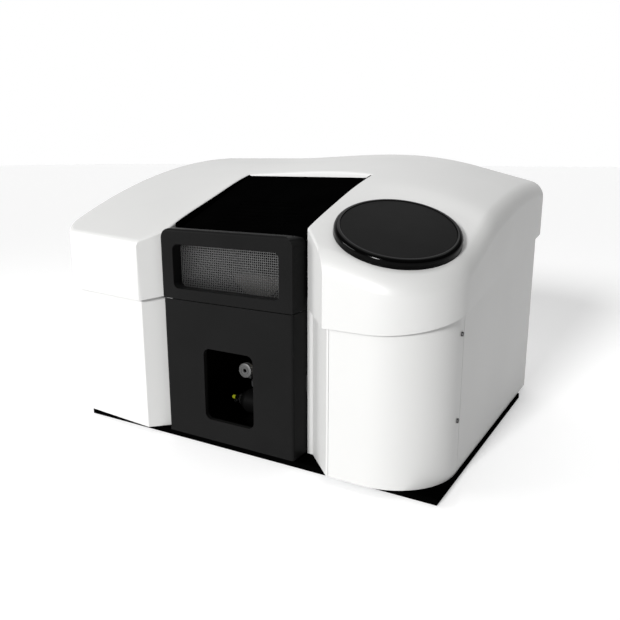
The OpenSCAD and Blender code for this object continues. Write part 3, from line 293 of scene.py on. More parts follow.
def makeFinish(name, recipe):
    finish = bpy.data.materials.new(name)
    finish.use_nodes = True
    tree = finish.node_tree
    tree.nodes.clear()
    mm = 1000.0
    where = addNode(tree, "ShaderNodeTexCoord", {}, {})
    along = addNode(tree, "ShaderNodeMapping", {}, {
        "Vector": where.outputs["Object"], "Scale": recipe.get("stretch", (1, 1, 1))})
    patches = addNode(tree, "ShaderNodeTexNoise", {}, {
        "Vector": along.outputs[0], "Scale": mm / recipe["patch"], "Detail": 3.0})
    tone = addNode(tree, "ShaderNodeMix", {"data_type": "RGBA"}, {
        0: patches.outputs["Fac"], 6: linearColour(recipe["colours"][0]),
        7: linearColour(recipe["colours"][1])})
    grain = addNode(tree, "ShaderNodeTexNoise", {}, {
        "Vector": along.outputs[0], "Scale": mm / recipe["grain"], "Detail": 2.0})
    gloss = addNode(tree, "ShaderNodeMapRange", {}, {
        "Value": patches.outputs["Fac"],
        "To Min": recipe["roughness"][0], "To Max": recipe["roughness"][1]})
    settings = {
        "Base Color": tone.outputs[2], "Roughness": gloss.outputs[0],
        "Metallic": recipe.get("metallic", 0.0), "Transmission Weight": recipe.get("clear", 0.0)}
    if "ior" in recipe:
        settings["IOR"] = recipe["ior"]
    # painted light: paintedGlow makes a part give out its own colour, though it is no lamp
    if "paintedGlow" in recipe:
        settings["Emission Color"] = tone.outputs[2]
        settings["Emission Strength"] = recipe["paintedGlow"]
    if "specular" in recipe:  # a matt coat scatters part of its gloss in its own grain
        settings["Specular IOR Level"] = recipe["specular"]
    if recipe["height"]:
        bump = addNode(tree, "ShaderNodeBump", {}, {
            "Height": grain.outputs["Fac"], "Distance": recipe["height"] / mm, "Strength": 1.0})
        settings["Normal"] = bump.outputs[0]
    skin = addNode(tree, "ShaderNodeBsdfPrincipled", {}, settings)
    addNode(tree, "ShaderNodeOutputMaterial", {}, {"Surface": skin.outputs[0]})
    return finish


made = {name: makeFinish(name, recipe) for name, recipe in finishes.items()}
print("finishes made:", len(made))


# What every new piece gets: a finish, smooth faces with kept creases, and its body

bodyOf = {node: body for body, group in frame["record"]["behaviour"]["bodies"].items() for node in group}


def addPiece(name, bm, finish, body, replaced=(), crease=32.0):
    mesh = bpy.data.meshes.new(name)
    bm.to_mesh(mesh)
    bm.free()
    mesh.materials.append(made[finish])
    mesh.shade_smooth()
    mesh.set_sharp_from_angle(angle=radians(crease))
    piece = bpy.data.objects.new(name, mesh)
    bpy.context.scene.collection.objects.link(piece)
    weights = piece.modifiers.new("faceWeights", "WEIGHTED_NORMAL")
    weights.keep_sharp = True
    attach(piece, body)
    if replaced:
        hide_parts(*replaced)
    return piece


# Mesh work that several pieces share

def startRing(bm, places):  # a closed loop of edges
    ring = bmesh.ops.create_circle(bm, segments=len(places), radius=1.0)["verts"]
    for vert, place in zip(ring, places):
        vert.co = place
    return ring


def ringEdges(bm, ring):
    return [bm.edges.get((a, b)) for a, b in zip(ring, ring[1:] + ring[:1])]


def nextRing(bm, ring, places):  # pulls the loop on to new places, with faces between
    grown = bmesh.ops.extrude_edge_only(bm, edges=ringEdges(bm, ring))["geom"]
    fresh = {v for v in grown if isinstance(v, bmesh.types.BMVert)}
    new = [next(e.other_vert(v) for e in v.link_edges if e.other_vert(v) in fresh) for v in ring]
    for vert, place in zip(new, places):
        vert.co = place
    return new


def closeRing(bm, ring):
    bmesh.ops.contextual_create(bm, geom=ringEdges(bm, ring))


def loft(bm, sections):  # a closed skin through rings of places, with a face at each end
    ring = startRing(bm, sections[0])
    closeRing(bm, ring)
    for places in sections[1:]:
        ring = nextRing(bm, ring, places)
    closeRing(bm, ring)
    bmesh.ops.recalc_face_normals(bm, faces=bm.faces)


def drum(radius, low, high, place, segments=128):  # a round block to cut with
    bm = bmesh.new()
    bmesh.ops.create_cone(bm, cap_ends=True, segments=segments, radius1=radius, radius2=radius,
                          depth=high - low)
    bmesh.ops.transform(bm, verts=bm.verts, matrix=place @ Matrix.Translation((0, 0, (low + high) / 2)))
    return bm


def lathe(profile, place, steps):  # turns a profile of (radius, height) about its own axis
    bm = bmesh.new()
    last = bmesh.ops.create_vert(bm, co=(profile[0][0], 0, profile[0][1]))["vert"][0]
    for r, h in profile[1:]:
        last = bmesh.ops.extrude_vert_indiv(bm, verts=[last])["verts"][0]
        last.co = (r, 0, h)
    bmesh.ops.spin(bm, geom=bm.verts[:] + bm.edges[:], cent=(0, 0, 0), axis=(0, 0, 1), dvec=(0, 0, 0),
                   angle=2 * pi, steps=steps, use_merge=True, use_duplicate=False)
    bmesh.ops.remove_doubles(bm, verts=bm.verts, dist=0.0000005)
    bmesh.ops.recalc_face_normals(bm, faces=bm.faces)
    bmesh.ops.transform(bm, verts=bm.verts, matrix=place)
    return bm


def takeIn(whole, bm):  # joins one mesh to another
    carrier = bpy.data.meshes.new("carrier")
    bm.to_mesh(carrier)
    bm.free()
    whole.from_mesh(carrier)
    bpy.data.meshes.remove(carrier)


def repeated(bm, places):  # the same small mesh at several places, in one mesh
    single = bpy.data.meshes.new("single")
    bm.to_mesh(single)
    bm.free()
    whole = bmesh.new()
    for place in places:
        before = len(whole.verts)
        whole.from_mesh(single)
        whole.verts.ensure_lookup_table()
        bmesh.ops.transform(whole, verts=whole.verts[before:], matrix=place)
    bpy.data.meshes.remove(single)
    return whole


def cutAway(bm, cutters):  # takes each cutter out of the block
    block = bpy.data.objects.new("coverBlock", bpy.data.meshes.new("coverBlock"))
    bm.to_mesh(block.data)
    bm.free()
    bpy.context.scene.collection.objects.link(block)
    tools = []
    for n, cutter in enumerate(cutters):
        tool = bpy.data.objects.new(f"cutter{n}", bpy.data.meshes.new(f"cutter{n}"))
        cutter.to_mesh(tool.data)
        cutter.free()
        bpy.context.scene.collection.objects.link(tool)
        cut = block.modifiers.new(f"cut{n}", "BOOLEAN")
        cut.operation = "DIFFERENCE"
        cut.solver = "EXACT"
        cut.object = tool
        tools.append(tool)
    result = bmesh.new()
    result.from_object(block, bpy.context.evaluated_depsgraph_get())
    for thing in [block] + tools:
        bpy.data.meshes.remove(thing.data)
    return result


# Top cover

cover = {
    "halfWidth": 0.400, "halfDepth": 0.325, "lap": 0.009, "wall": 0.004,
    "lobeRadius": 0.118, "leftRadius": 0.035, "rearRadius": 0.018,
    "leftBow": 0.022, "leftSet": 0.004, "leftFlare": 0.190, "rightFlare": 0.215,
    "skirtHeight": 0.2705, "skirtSlopeFront": 0.23, "skirtSlope": 0.137, "skirtRun": 0.214,
    "archRadius": 1.305, "archTop": 0.533, "archPlace": 0.277,
    "crownHeight": 0.009, "crownPlace": 0.060, "crownRun": 0.260,
    "fallRadius": 0.800, "fallAngle": radians(14.6),
    "edgeLeft": 0.009, "edgeRight": 0.027,
    "bayHalf": 0.146, "bayBack": -0.019, "bayEdge": 0.004, "bayCorner": 0.005,
    "bayBackCorner": 0.003, "bayDraft": radians(10),
    "lidRadius": 0.1065, "lidGap": 0.0003, "lidPocket": 0.0015, "lidBore": 0.0945,
    "lidSink": 0.007, "lidEase": 0.86, "lidBlend": 0.090,
    "scoopDepth": 0.005, "scoopWidth": 0.190, "scoopStart": -0.290,
    "step": 0.012, "cornerSteps": 20, "bayCornerSteps": 6, "edgeSteps": 9, "roofRings": 31,
}
lobe = Vector((cover["halfWidth"] - cover["lobeRadius"], cover["lobeRadius"] - cover["halfDepth"]))


def ease(t):
    u = max(0.0, min(1.0, t))
    return u * u * (3 - 2 * u)


def skirtLine(y):  # height of the cover's lower edge
    u = y + cover["halfDepth"] + cover["lap"]
    bend = (cover["skirtSlopeFront"] - cover["skirtSlope"]) / 2
    if u < cover["skirtRun"]:
        return cover["skirtHeight"] + cover["skirtSlopeFront"] * u - bend * u * u / cover["skirtRun"]
    return cover["skirtHeight"] + bend * cover["skirtRun"] + cover["skirtSlope"] * u


def archHeight(y):  # the roof from front to back
    r = cover["archRadius"]
    return cover["archTop"] - r + sqrt(r * r - (y - cover["archPlace"]) ** 2)


def crownHeight(x):  # what the roof adds from side to side
    start, r, a = cover["crownPlace"], cover["fallRadius"], cover["fallAngle"]
    if x < start:
        return cover["crownHeight"] * ease((x - start + cover["crownRun"]) / cover["crownRun"])
    if x < start + r * sin(a):
        return cover["crownHeight"] - r + sqrt(r * r - (x - start) ** 2)
    return cover["crownHeight"] - r * (1 - cos(a)) - (x - start - r * sin(a)) * tan(a)


lidHeight = archHeight(lobe.y) + crownHeight(lobe.x) - cover["lidSink"]
lidSlopeX = (crownHeight(lobe.x + 0.001) - crownHeight(lobe.x - 0.001)) / 0.002
lidSlopeY = (archHeight(lobe.y + 0.001) - archHeight(lobe.y - 0.001)) / 0.002 * cover["lidEase"]
lidTurnY = atan(-lidSlopeX)
lidTurnX = atan(lidSlopeY * cos(lidTurnY))
lidTilt = Euler((lidTurnX, lidTurnY, 0)).to_matrix().to_4x4()
onLid = Matrix.Translation((lobe.x, lobe.y, lidHeight)) @ lidTilt


def scoopDepth(x, y):  # beside the bay the left lobe is scooped, so that its edge runs straight
    start, end = cover["scoopStart"], cover["bayBack"]
    if not start < y < end:
        return 0.0
    across = ease((x + cover["bayHalf"] + cover["scoopWidth"]) / cover["scoopWidth"])
    along = sin(pi * (y - start) / (end - start)) ** 2
    return cover["scoopDepth"] * along * across * ease(-x * 2 / cover["bayHalf"])


def roofHeight(x, y):  # flat round the lid, then blended into the arch and the crown
    away = ease((Vector((x - lobe.x, y - lobe.y)).length - cover["lidRadius"] - 0.003)
                / cover["lidBlend"])
    flat = lidHeight + (x - lobe.x) * lidSlopeX + (y - lobe.y) * lidSlopeY
    return flat * (1 - away) + (archHeight(y) + crownHeight(x)) * away - scoopDepth(x, y)


def edgeRadius(x):  # the rolled edge is fuller on the right
    return cover["edgeLeft"] + (cover["edgeRight"] - cover["edgeLeft"]) * ease((x + lobe.x / 2) / lobe.x)


def cornerArc(before, corner, after, radius, steps):  # points round one corner
    if radius <= 0:
        return [corner]
    u, v = (before - corner).normalized(), (after - corner).normalized()
    half = acos(u.dot(v)) / 2
    centre = corner + (u + v).normalized() * radius / sin(half)
    start = corner + u * radius / tan(half) - centre
    end = corner + v * radius / tan(half) - centre
    first = atan2(start.y, start.x)
    turn = (atan2(end.y, end.x) - first + 3 * pi) % (2 * pi) - pi
    return [centre + radius * Vector((cos(first + turn * i / steps), sin(first + turn * i / steps)))
            for i in range(steps + 1)]


def roundedOutline(corners, radii, step, steps, counts=None):
    n = len(corners)
    arcs = [cornerArc(corners[k - 1], corners[k], corners[(k + 1) % n], radii[k], steps) for k in range(n)]
    points = []
    runs = counts or [max(1, ceil((arcs[(k + 1) % n][0] - arcs[k][-1]).length / step)) for k in range(n)]
    for k in range(n):
        a, b = arcs[k][-1], arcs[(k + 1) % n][0]
        points += arcs[k] + [a + (b - a) * i / runs[k] for i in range(1, runs[k])]
    return points, runs


def coverOutline(out):  # the cover from above, grown by out
    w, d = cover["halfWidth"] + out, cover["halfDepth"]
    corners = [(-w, cover["leftBow"] - d - out), (-cover["leftFlare"], cover["leftSet"] - d - out),
               (w, -d - out), (w, d + out), (-w, d + out)]
    radii = [cover["leftRadius"] + out, 0, cover["lobeRadius"] + out,
             cover["rearRadius"] + out, cover["rearRadius"] + out]
    return roundedOutline([Vector(c) for c in corners], radii, cover["step"], cover["cornerSteps"])[0]


def bayOutline(out, counts):  # the opening between the lobes, grown by out
    side, far = cover["bayHalf"] + out, 0.6
    leftLine = cover["halfDepth"] - cover["leftSet"] - cover["leftFlare"] + (cover["lap"] - out) * sqrt(2)
    rightLine = cover["rightFlare"] - cover["halfDepth"] - (cover["lap"] - out) * sqrt(2)
    corners = [(leftLine - far, -far), (rightLine + far, -far), (side, rightLine - side),
               (side, cover["bayBack"] + out), (-side, cover["bayBack"] + out), (-side, -side - leftLine)]
    back = cover["bayBackCorner"] + out
    radii = [0, 0, cover["bayCorner"], back, back, cover["bayCorner"]]
    corners = [Vector(c) for c in corners]
    return roundedOutline(corners, radii, cover["step"], cover["bayCornerSteps"], counts)


def inset(points, k, distance):  # towards the middle, so that the edge lies distance further in
    along = (points[(k + 1) % len(points)] - points[k - 1]).normalized()
    p = points[k]
    return p - p * distance / -(p.dot(Vector((-along.y, along.x))))


def coverBlock():  # the cover as a solid, with its edge rolled and its roof domed
    outline = coverOutline(cover["lap"])
    bm = bmesh.new()
    ring = startRing(bm, [(p.x, p.y, 0.2) for p in outline])
    closeRing(bm, ring)
    for i in range(cover["edgeSteps"] + 1):
        a = pi / 2 * i / cover["edgeSteps"]
        places = []
        for k, p in enumerate(outline):
            r = edgeRadius(p.x)
            q = inset(outline, k, r * (1 - cos(a)))
            places.append((q.x, q.y, roofHeight(q.x, q.y) - r * (1 - sin(a))))
        ring = nextRing(bm, ring, places)
    inner = [inset(outline, k, edgeRadius(p.x)) for k, p in enumerate(outline)]
    for s in range(1, cover["roofRings"]):
        share = 1 - s / cover["roofRings"]
        places = [(q.x * share, q.y * share) for q in inner]
        ring = nextRing(bm, ring, [(x, y, roofHeight(x, y)) for x, y in places])
    bmesh.ops.pointmerge(bm, verts=ring, merge_co=(0, 0, roofHeight(0, 0)))
    bmesh.ops.recalc_face_normals(bm, faces=bm.faces)
    return bm


def bayCutter():  # opens the bay and rolls the roof's edge into it
    flat, counts = bayOutline(0.0, None)
    grown = bayOutline(0.001, counts)[0]
    drift = [(b - a) / 0.001 for a, b in zip(flat, grown)]
    r = cover["bayEdge"]
    steps = [(r * (1 - cos(radians(a))), r * (1 - sin(radians(a)))) for a in range(0, 81, 16)]
    steps.append((steps[-1][0] + 0.3 * r, steps[-1][1] - 0.3 * r * tan(cover["bayDraft"])))
    sections = [[(p.x, p.y, 0.15) for p in flat]]  # from well under the cover
    for out, sink in steps:
        places = [p + d * out for p, d in zip(flat, drift)]
        heights = [roofHeight(q.x, max(q.y, -0.34)) - sink for q in places]
        sections.append([(q.x, q.y, z) for q, z in zip(places, heights)])
    sections.append([(q.x, q.y, 0.7) for q in places])  # to well over it
    bm = bmesh.new()
    loft(bm, sections)
    return bm


def skirtCutter():  # takes off what lies below the lower edge
    bm = bmesh.new()
    bmesh.ops.create_grid(bm, x_segments=1, y_segments=80, size=0.5)
    for vert in bm.verts:
        vert.co.z = skirtLine(vert.co.y)
    lower = bmesh.ops.extrude_face_region(bm, geom=bm.faces[:])["geom"]
    for vert in lower:
        if isinstance(vert, bmesh.types.BMVert):
            vert.co.z = 0.1
    bmesh.ops.recalc_face_normals(bm, faces=bm.faces)
    return bm


def makeTopCover():
    c = cover
    pocket = drum(c["lidRadius"] + c["lidGap"], -c["lidPocket"], 0.1, onLid)
    bore = drum(c["lidBore"], -0.4, 0.05, onLid)
    bm = cutAway(coverBlock(), [bayCutter(), skirtCutter(), pocket, bore])
    away = onLid.inverted()
    inside = []
    for face in bm.faces:
        underneath = face.normal.z < -0.8
        boreWall = all((away @ v.co).to_2d().length < c["lidBore"] + 0.0002 for v in face.verts)
        if underneath or boreWall:
            inside.append(face)
    bmesh.ops.delete(bm, geom=inside, context="FACES")
    piece = addPiece("topCoverMoulding", bm, "mouldedWhiteAbs", "chassis", ["top_cover"])
    thick = piece.modifiers.new("mouldedWall", "SOLIDIFY")
    thick.thickness = c["wall"]
    thick.offset = -1.0
    piece.modifiers.move(1, 0)  # the wall comes before the face weights


makeTopCover()
print("top cover made")


# Round lid: a glossy turned-over rim, and a satin disc let into it

lid = {
    "radius": cover["lidRadius"], "height": 0.015, "soft": 0.008, "seat": 0.0003,
    "discRadius": 0.0965, "discThick": 0.0025, "plug": 0.009, "steps": 160,
}


def makeLid():
    r, h, soft, bore = lid["radius"], lid["height"], lid["soft"], cover["lidBore"]
    base = lid["seat"] - cover["lidPocket"]
    web = h - lid["discThick"] - 0.005
    floorZ = h - lid["discThick"] - 0.001
    turns = [radians(a) for a in range(0, 91, 6)]
    rounding = [(r - soft * (1 - cos(a)), h - soft * (1 - sin(a))) for a in turns]
    profile = [(0, web), (bore - 0.007, web), (bore - 0.007, base - lid["plug"]),
               (bore - 0.005, base - lid["plug"]), (bore - 0.002, base - lid["plug"] + 0.003),
               (bore - 0.002, web), (r - 0.005, web), (r - 0.004, web - 0.001), (r - 0.004, base),
               (r - 0.0006, base), (r, base + 0.0006)] + rounding
    profile += [(lid["discRadius"] + 0.0008, h), (lid["discRadius"] + 0.0002, h - 0.0002),
                (lid["discRadius"], h - 0.0008), (lid["discRadius"], floorZ), (0, floorZ)]
    addPiece("lidRimMoulding", lathe(profile, onLid, lid["steps"]), "polishedBlackAbs", "lid", ["lamp_lid"])
    edge = lid["discRadius"] - lid["seat"]
    top = floorZ + lid["discThick"]
    disc = [(0, floorZ), (edge, floorZ), (edge, top - 0.0012), (edge - 0.0004, top - 0.0004),
            (edge - 0.0012, top), (edge * 0.5, top + 0.0004), (0, top + 0.0005)]
    addPiece("lidDiscMoulding", lathe(disc, onLid, lid["steps"]), "satinBlackAbs", "lid", ["lid_disc"])


makeLid()
print("lid made")


# Woven wire cloth in the hood

cloth = {
    "width": 0.2356, "height": 0.0866, "centre": 0.341, "front": -0.28785, "thick": 0.0024,
    "pitch": 0.0042, "wire": 0.00085, "sides": 5,  # coarser than the real cloth, so that it shows
}


def makeWire(count, first):  # one wire along X that goes over and under the crossing ones
    c = cloth
    wave = c["thick"] / 2 - c["wire"]
    angles = [2 * pi * i / c["sides"] for i in range(c["sides"])]
    sections = []
    for j in range(count + 1):
        along = (j - count / 2) * c["pitch"]
        lift = wave if (j + first) % 2 else -wave
        sections.append([(along, lift + c["wire"] * sin(a), c["wire"] * cos(a)) for a in angles])
    bm = bmesh.new()
    loft(bm, sections)
    return bm


def makeCloth():
    c = cloth
    counts = (int(c["width"] / c["pitch"]), int(c["height"] / c["pitch"]))
    whole = bmesh.new()
    for upright in (0, 1):
        length, others = counts[upright], counts[1 - upright]
        turn = Matrix.Rotation(upright * pi / 2, 4, "Y")
        for first in (0, 1):
            rows = [(k - (others - 1) / 2) * c["pitch"] for k in range(first, others, 2)]
            places = [turn @ Matrix.Translation((0, 0, row)) for row in rows]
            takeIn(whole, repeated(makeWire(length, first + upright), places))
    bmesh.ops.translate(whole, verts=whole.verts, vec=(0, c["front"] + c["thick"] / 2, c["centre"]))
    addPiece("hoodWireCloth", whole, "stainlessWire", "hood", ["hood_grille"], 60.0)


makeCloth()
print("wire cloth made")


# Black trim strips on the side walls of the bay, from the hood's cheeks to the back

trim = {
    "front": -0.2645, "back": -0.021, "outer": 0.1457, "thick": 0.0016, "drop": 0.0012, "steps": 24,
    "lowFront": 0.3765, "lowBack": 0.4748,
}


def makeTrim():
    t = trim
    strips = bmesh.new()
    for side in (-1, 1):
        outer, inner = side * t["outer"], side * (t["outer"] - t["thick"])
        sections = []
        for k in range(t["steps"] + 1):
            share = k / t["steps"]
            y = t["front"] + (t["back"] - t["front"]) * share
            low = t["lowFront"] + (t["lowBack"] - t["lowFront"]) * share
            high = roofHeight(side * cover["bayHalf"], y) - t["drop"]
            sections.append([(outer, y, low), (outer, y, high), (inner, y, high), (inner, y, low)])
        loft(strips, sections)
    addPiece("bayTrimStrips", strips, "flatBlackEnamel", "chassis", ["bay_trim"])


makeTrim()
print("trim made")


# What the window in the door shows: the knob, the cone of the nebuliser and its tip

knob = {
    "radius": 0.0145, "rim": 0.0009, "depth": 0.012, "face": 0.0126, "groove": 0.0086,
    "boss": 0.0078, "hole": 0.0038, "holeDepth": 0.0045, "hub": 0.009, "hubEnd": 0.017, "shaft": 0.003,
    "flutes": 18, "fluteDepth": 0.0008, "steps": 144,
}


def makeKnob():
    k = knob
    low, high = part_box("height_knob")
    middle = (low + high) / 2
    end = high[1] - low[1]
    place = Matrix.Translation((middle[0], low[1], middle[2])) @ Matrix.Rotation(-pi / 2, 4, "X")
    profile = [(0, k["holeDepth"]), (k["hole"], k["holeDepth"]), (k["hole"], 0.0006),
               (k["hole"] + 0.0006, 0), (k["boss"], 0), (k["boss"] + 0.0003, 0.0009), (k["groove"], 0.0009),
               (k["groove"] + 0.0003, 0.0001), (k["face"], 0.0001), (k["radius"] - 0.0002, k["rim"]),
               (k["radius"], k["rim"] + 0.0003), (k["radius"], k["depth"] - 0.0008),
               (k["radius"] - 0.0008, k["depth"]), (k["hub"], k["depth"]), (k["hub"], k["hubEnd"]),
               (k["shaft"], k["hubEnd"]), (k["shaft"], end), (0, end)]
    bm = lathe(profile, Matrix(), k["steps"])
    for vert in bm.verts:  # flutes for the fingers
        r = vert.co.to_2d().length
        if r > k["radius"] - 0.00001:
            wave = max(0.0, cos(k["flutes"] * atan2(vert.co.y, vert.co.x)))
            shrink = 1 - k["fluteDepth"] * wave ** 2 / r
            vert.co.x *= shrink
            vert.co.y *= shrink
    bmesh.ops.transform(bm, verts=bm.verts, matrix=place)
    addPiece("knobTurned", bm, "turnedGreyAluminium", "knob", ["height_knob"])
    edge, back = k["hole"] - 0.0002, k["holeDepth"] - 0.0002
    screw = [(0, 0.0032), (0.0012, 0.0032), (0.0012, 0.0022), (edge - 0.0006, 0.0022), (edge, 0.0026),
             (edge, back), (0, back)]
    addPiece("knobSocketScrew", lathe(screw, place, 48), "flatBlackEnamel", "knob")


nozzle = {
    # (radius, distance along the axis from the tip's free end)
    "tip": [(0, 0), (0.0022, 0.0002), (0.0033, 0.0014), (0.0036, 0.0032), (0.0036, 0.0078), (0, 0.0078)],
    "cone": [(0, 0.008), (0.0036, 0.008), (0.0044, 0.0086), (0.0085, 0.0165), (0.0125, 0.0272),
             (0.0125, 0.0277), (0.0086, 0.0277), (0.0086, 0.045), (0, 0.045)],
    "armPlace": 0.020, "armRadius": 0.0035, "armLength": 0.018, "steps": 64,
}


def makeNozzle():
    n = nozzle
    low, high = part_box("capillary_tip")
    middle = (low + high) / 2
    place = Matrix.Translation((low[0], middle[1], middle[2])) @ Matrix.Rotation(pi / 2, 4, "Y")
    addPiece("capillaryTipMoulding", lathe(n["tip"], place, n["steps"]), "mouldedTipPlastic", "carriage",
             ["capillary_tip"])
    bm = lathe(n["cone"], place, n["steps"])
    side = Matrix.Translation((low[0] + n["armPlace"], middle[1], middle[2]))
    side = side @ Matrix.Rotation(pi / 2, 4, "X") @ Matrix.Translation((0, 0, n["armLength"] / 2))
    bmesh.ops.create_cone(bm, cap_ends=True, segments=32, radius1=n["armRadius"], radius2=n["armRadius"],
                          depth=n["armLength"], matrix=side)
    addPiece("nebuliserCone", bm, "greyPolyamide", "carriage", ["nebuliser"])


makeKnob()
makeNozzle()
print("window pieces made")


# Hollow cathode lamps: a glass bulb with a pressed-in window, and the electrodes inside

lamps = {
    "count": 8, "pitch": 0.062, "centre": (0.282, -0.207), "radius": 0.0185, "wall": 0.0013,
    "window": 0.0018, "dish": 0.0008, "steps": 48,
    "cathodeLow": 0.072, "cathodeTall": 0.014, "cathodeRadius": 0.0046, "cathodeBore": 0.0022,
    "discRadius": 0.0125, "discThick": 0.0012, "discGap": 0.0004, "postPlace": 0.0075, "postRadius": 0.0007,
    "ringRadius": 0.0075, "ringPlace": 0.096, "ringSteps": 24, "ringLink": 0.0024,
    "stemRadius": 0.0065, "stemTall": 0.022,
}


def addRod(bm, x, low, high, radius):
    place = Matrix.Translation((x, 0, (low + high) / 2))
    bmesh.ops.create_cone(bm, cap_ends=True, segments=12, radius1=radius, radius2=radius, depth=high - low,
                          matrix=place)


def makeLamps():
    m = lamps
    low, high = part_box("lamp_tubes")
    mirrorLow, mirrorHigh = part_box("beam_mirror")
    beamY = (mirrorLow[1] + mirrorHigh[1]) / 2  # the first lamp stands under the mirror
    first = pi - asin((beamY - m["centre"][1]) / m["pitch"])
    places = []
    for k in range(m["count"]):
        turn = first + 2 * pi * k / m["count"]
        places.append(Matrix.Translation((m["centre"][0] + m["pitch"] * cos(turn),
                                          m["centre"][1] + m["pitch"] * sin(turn), low[2])))
    r, h, wall = m["radius"], high[2] - low[2], m["wall"]
    outside = [(0, 0), (r - 0.003, 0), (r - 0.0009, 0.0009), (r, 0.003), (r, h - 0.002),
               (r - 0.0006, h - 0.0006), (r - 0.0018, h), (r - 0.0034, h), (r - 0.004, h - m["dish"]),
               (0, h - m["dish"])]
    top = h - m["dish"] - m["window"]
    inside = [(0, wall), (r - 0.004, wall), (r - wall, 0.004), (r - wall, top - 0.002),
              (r - 0.003, top), (0, top)]
    bulb = lathe(outside, Matrix(), m["steps"])
    hollow = lathe(inside, Matrix(), m["steps"])
    bmesh.ops.reverse_faces(hollow, faces=hollow.faces)
    takeIn(bulb, hollow)
    addPiece("lampBulbs", repeated(bulb, places), "blownGlass", "turret", ["lamp_tubes"])

    a, b = m["cathodeLow"], m["cathodeLow"] + m["cathodeTall"]
    metal = lathe([(0, a), (m["cathodeRadius"], a), (m["cathodeRadius"], b), (m["cathodeBore"], b),
                   (m["cathodeBore"], a + 0.003), (0, a + 0.003)], Matrix(), 32)
    for x in (-m["postPlace"], m["postPlace"]):
        addRod(metal, x, m["stemTall"] - 0.002, m["ringPlace"], m["postRadius"])
    onRing = Matrix.Translation((m["ringRadius"], 0, m["ringPlace"])) @ Matrix.Rotation(pi / 2, 4, "X")
    for k in range(m["ringSteps"]):  # the anode ring above the cathode
        turn = Matrix.Rotation(2 * pi * k / m["ringSteps"], 4, "Z")
        bmesh.ops.create_cone(metal, cap_ends=True, segments=8, radius1=m["postRadius"],
                              radius2=m["postRadius"], depth=m["ringLink"], matrix=turn @ onRing)
    addPiece("lampElectrodes", repeated(metal, places), "drawnNickel", "turret")
    ceramic = lathe([(0, wall + 0.0002), (m["stemRadius"] + 0.003, wall + 0.0002), (m["stemRadius"], 0.008),
                     (m["stemRadius"] - 0.0015, m["stemTall"]), (0, m["stemTall"])], Matrix(), 24)
    for under in (a - m["discGap"] - m["discThick"], b + m["discGap"]):
        disc = Matrix.Translation((0, 0, under + m["discThick"] / 2))
        bmesh.ops.create_cone(ceramic, cap_ends=True, segments=32, radius1=m["discRadius"],
                              radius2=m["discRadius"], depth=m["discThick"], matrix=disc)
    addPiece("lampInsulators", repeated(ceramic, places), "firedCeramic", "turret")


makeLamps()
print("lamps made")


# Softened copies of the model's nodes: the same shape with its edges broken like real parts

soft = {
    # node: piece name, finish, edge radius in mm
    "base_plate": ("basePlateEnamelled", "flatBlackEnamel", 0.8),
    "left_cover": ("leftCoverSheet", "whitePowderCoat", 0.8),
    "right_cover": ("rightCoverSheet", "whitePowderCoat", 0.8),
    "bay_side_cover": ("baySideCoverSheet", "whitePowderCoat", 0.8),
    "lamp_access_panel": ("accessPanelSheet", "whitePowderCoat", 0.8),
    "hood_frame": ("hoodFrameSheet", "blackPowderCoat", 1.5),
    "hood_plate": ("hoodPlateSheet", "flatBlackEnamel", 0.6),
    "front_door": ("frontDoorPanel", "blackPowderCoat", 1.6),
    "rear_panel": ("rearPanelSheet", "whitePowderCoat", 0.5),
    "bay_liner": ("bayLinerSheet", "blackenedStainless", 0.4),
    "hinge_mount": ("hingeMountPlate", "blackPowderCoat", 0.4),
    "door_hinge_arm": ("doorHingeArmPlate", "blackPowderCoat", 0.5),
    "door_catch": ("doorCatchMoulding", "mouldedPolyamide", 0.5),
    "burner_head": ("burnerHeadMachined", "machinedTitanium", 0.5),
    "burner_carriage": ("carriagePlate", "anodisedAluminium", 0.6),
    "knob_bracket": ("knobBracketPlate", "blackPowderCoat", 0.5),
    "lamp_stand": ("lampStandPlate", "anodisedAluminium", 0.5),
    "lamp_bases": ("lampCaps", "mouldedPolyamide", 0.6),
    "monochromator_case": ("monochromatorCasting", "blackPowderCoat", 1.2),
    "monochromator_lid": ("monochromatorLidPlate", "blackPowderCoat", 0.5),
    "detector_housing": ("detectorHousingCase", "blackPowderCoat", 1.0),
    "power_supply": ("powerSupplyCase", "zincPlatedSteel", 0.8),
    "gas_box": ("gasBoxCase", "zincPlatedSteel", 0.8),
    "fan_frame": ("fanFrameMoulding", "mouldedPolyamide", 0.5),
    "mains_inlet": ("mainsInletMoulding", "mouldedPolyamide", 0.5),
    "power_rocker": ("rockerMoulding", "mouldedPolyamide", 0.4),
    "data_port": ("dataPortShell", "zincPlatedSteel", 0.4),
}
edgeAngle = 30.0  # a fold of more degrees than this counts as an edge


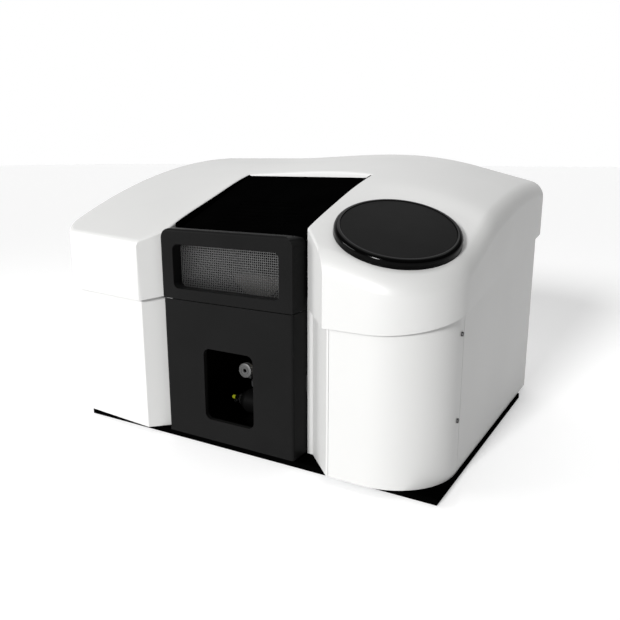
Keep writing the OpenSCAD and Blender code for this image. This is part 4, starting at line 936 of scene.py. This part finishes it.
def softCopy(node, name, finish, radius):
    source = frame["nodes"][node]
    bm = bmesh.new()
    bm.from_mesh(source.data)
    bmesh.ops.remove_doubles(bm, verts=bm.verts, dist=0.00001)
    bmesh.ops.dissolve_limit(bm, angle_limit=radians(1.0), verts=bm.verts, edges=bm.edges)
    hard = [e for e in bm.edges if len(e.link_faces) == 2 and e.calc_face_angle() > radians(edgeAngle)]
    bmesh.ops.bevel(bm, geom=hard, offset=radius / 1000, affect="EDGES", segments=2, profile=0.5,
                    material=-1, clamp_overlap=True)
    bmesh.ops.recalc_face_normals(bm, faces=bm.faces)
    addPiece(name, bm, finish, bodyOf[node], [node])


for node, plan in soft.items():
    softCopy(node, *plan)
print("sheet pieces softened")


# Finishes of the nodes that keep the model's own mesh

nodeFinish = {
    "top_cover": "mouldedWhiteAbs", "bay_trim": "flatBlackEnamel", "foot_pads": "mouldedRubber",
    "floor_pan": "zincPlatedSteel", "panel_screws": "blackOxideSteel", "hood_grille": "stainlessWire",
    "lamp_lid": "polishedBlackAbs", "lid_disc": "satinBlackAbs", "height_knob": "turnedGreyAluminium",
    "capillary_tip": "mouldedTipPlastic", "spray_chamber": "satinBlackAbs", "nebuliser": "greyPolyamide",
    "beam_port_rings": "mouldedPolyamide", "beam_windows": "polishedQuartz",
    "hood_hinge_pins": "groundChromeSteel", "door_pins": "groundChromeSteel",
    "beam_mirror": "evaporatedMirror", "mirror_bracket": "anodisedAluminium", "lamp_tubes": "blownGlass",
    "lamp_turret": "anodisedAluminium", "turret_motor": "mouldedPolyamide",
    "guide_rods": "groundChromeSteel", "burner_stem": "machinedTitanium", "height_rack": "drawnBrass",
    "knob_pinion": "drawnBrass", "monochromator_stand": "zincPlatedSteel",
    "grating_table": "anodisedAluminium", "grating": "ruledGrating", "gas_pipes": "drawnCopper",
    "gas_fittings": "drawnBrass", "fan_rotor": "mouldedPolyamide", "fan_guard": "groundChromeSteel",
}
for node, plan in soft.items():
    nodeFinish[node] = plan[1]
for node, finish in nodeFinish.items():
    for slot in frame["nodes"][node].material_slots:
        slot.material = made[finish]
missing = sorted(set(frame["nodes"]) - set(nodeFinish))
print("nodes finished:", len(nodeFinish), "left:", missing)
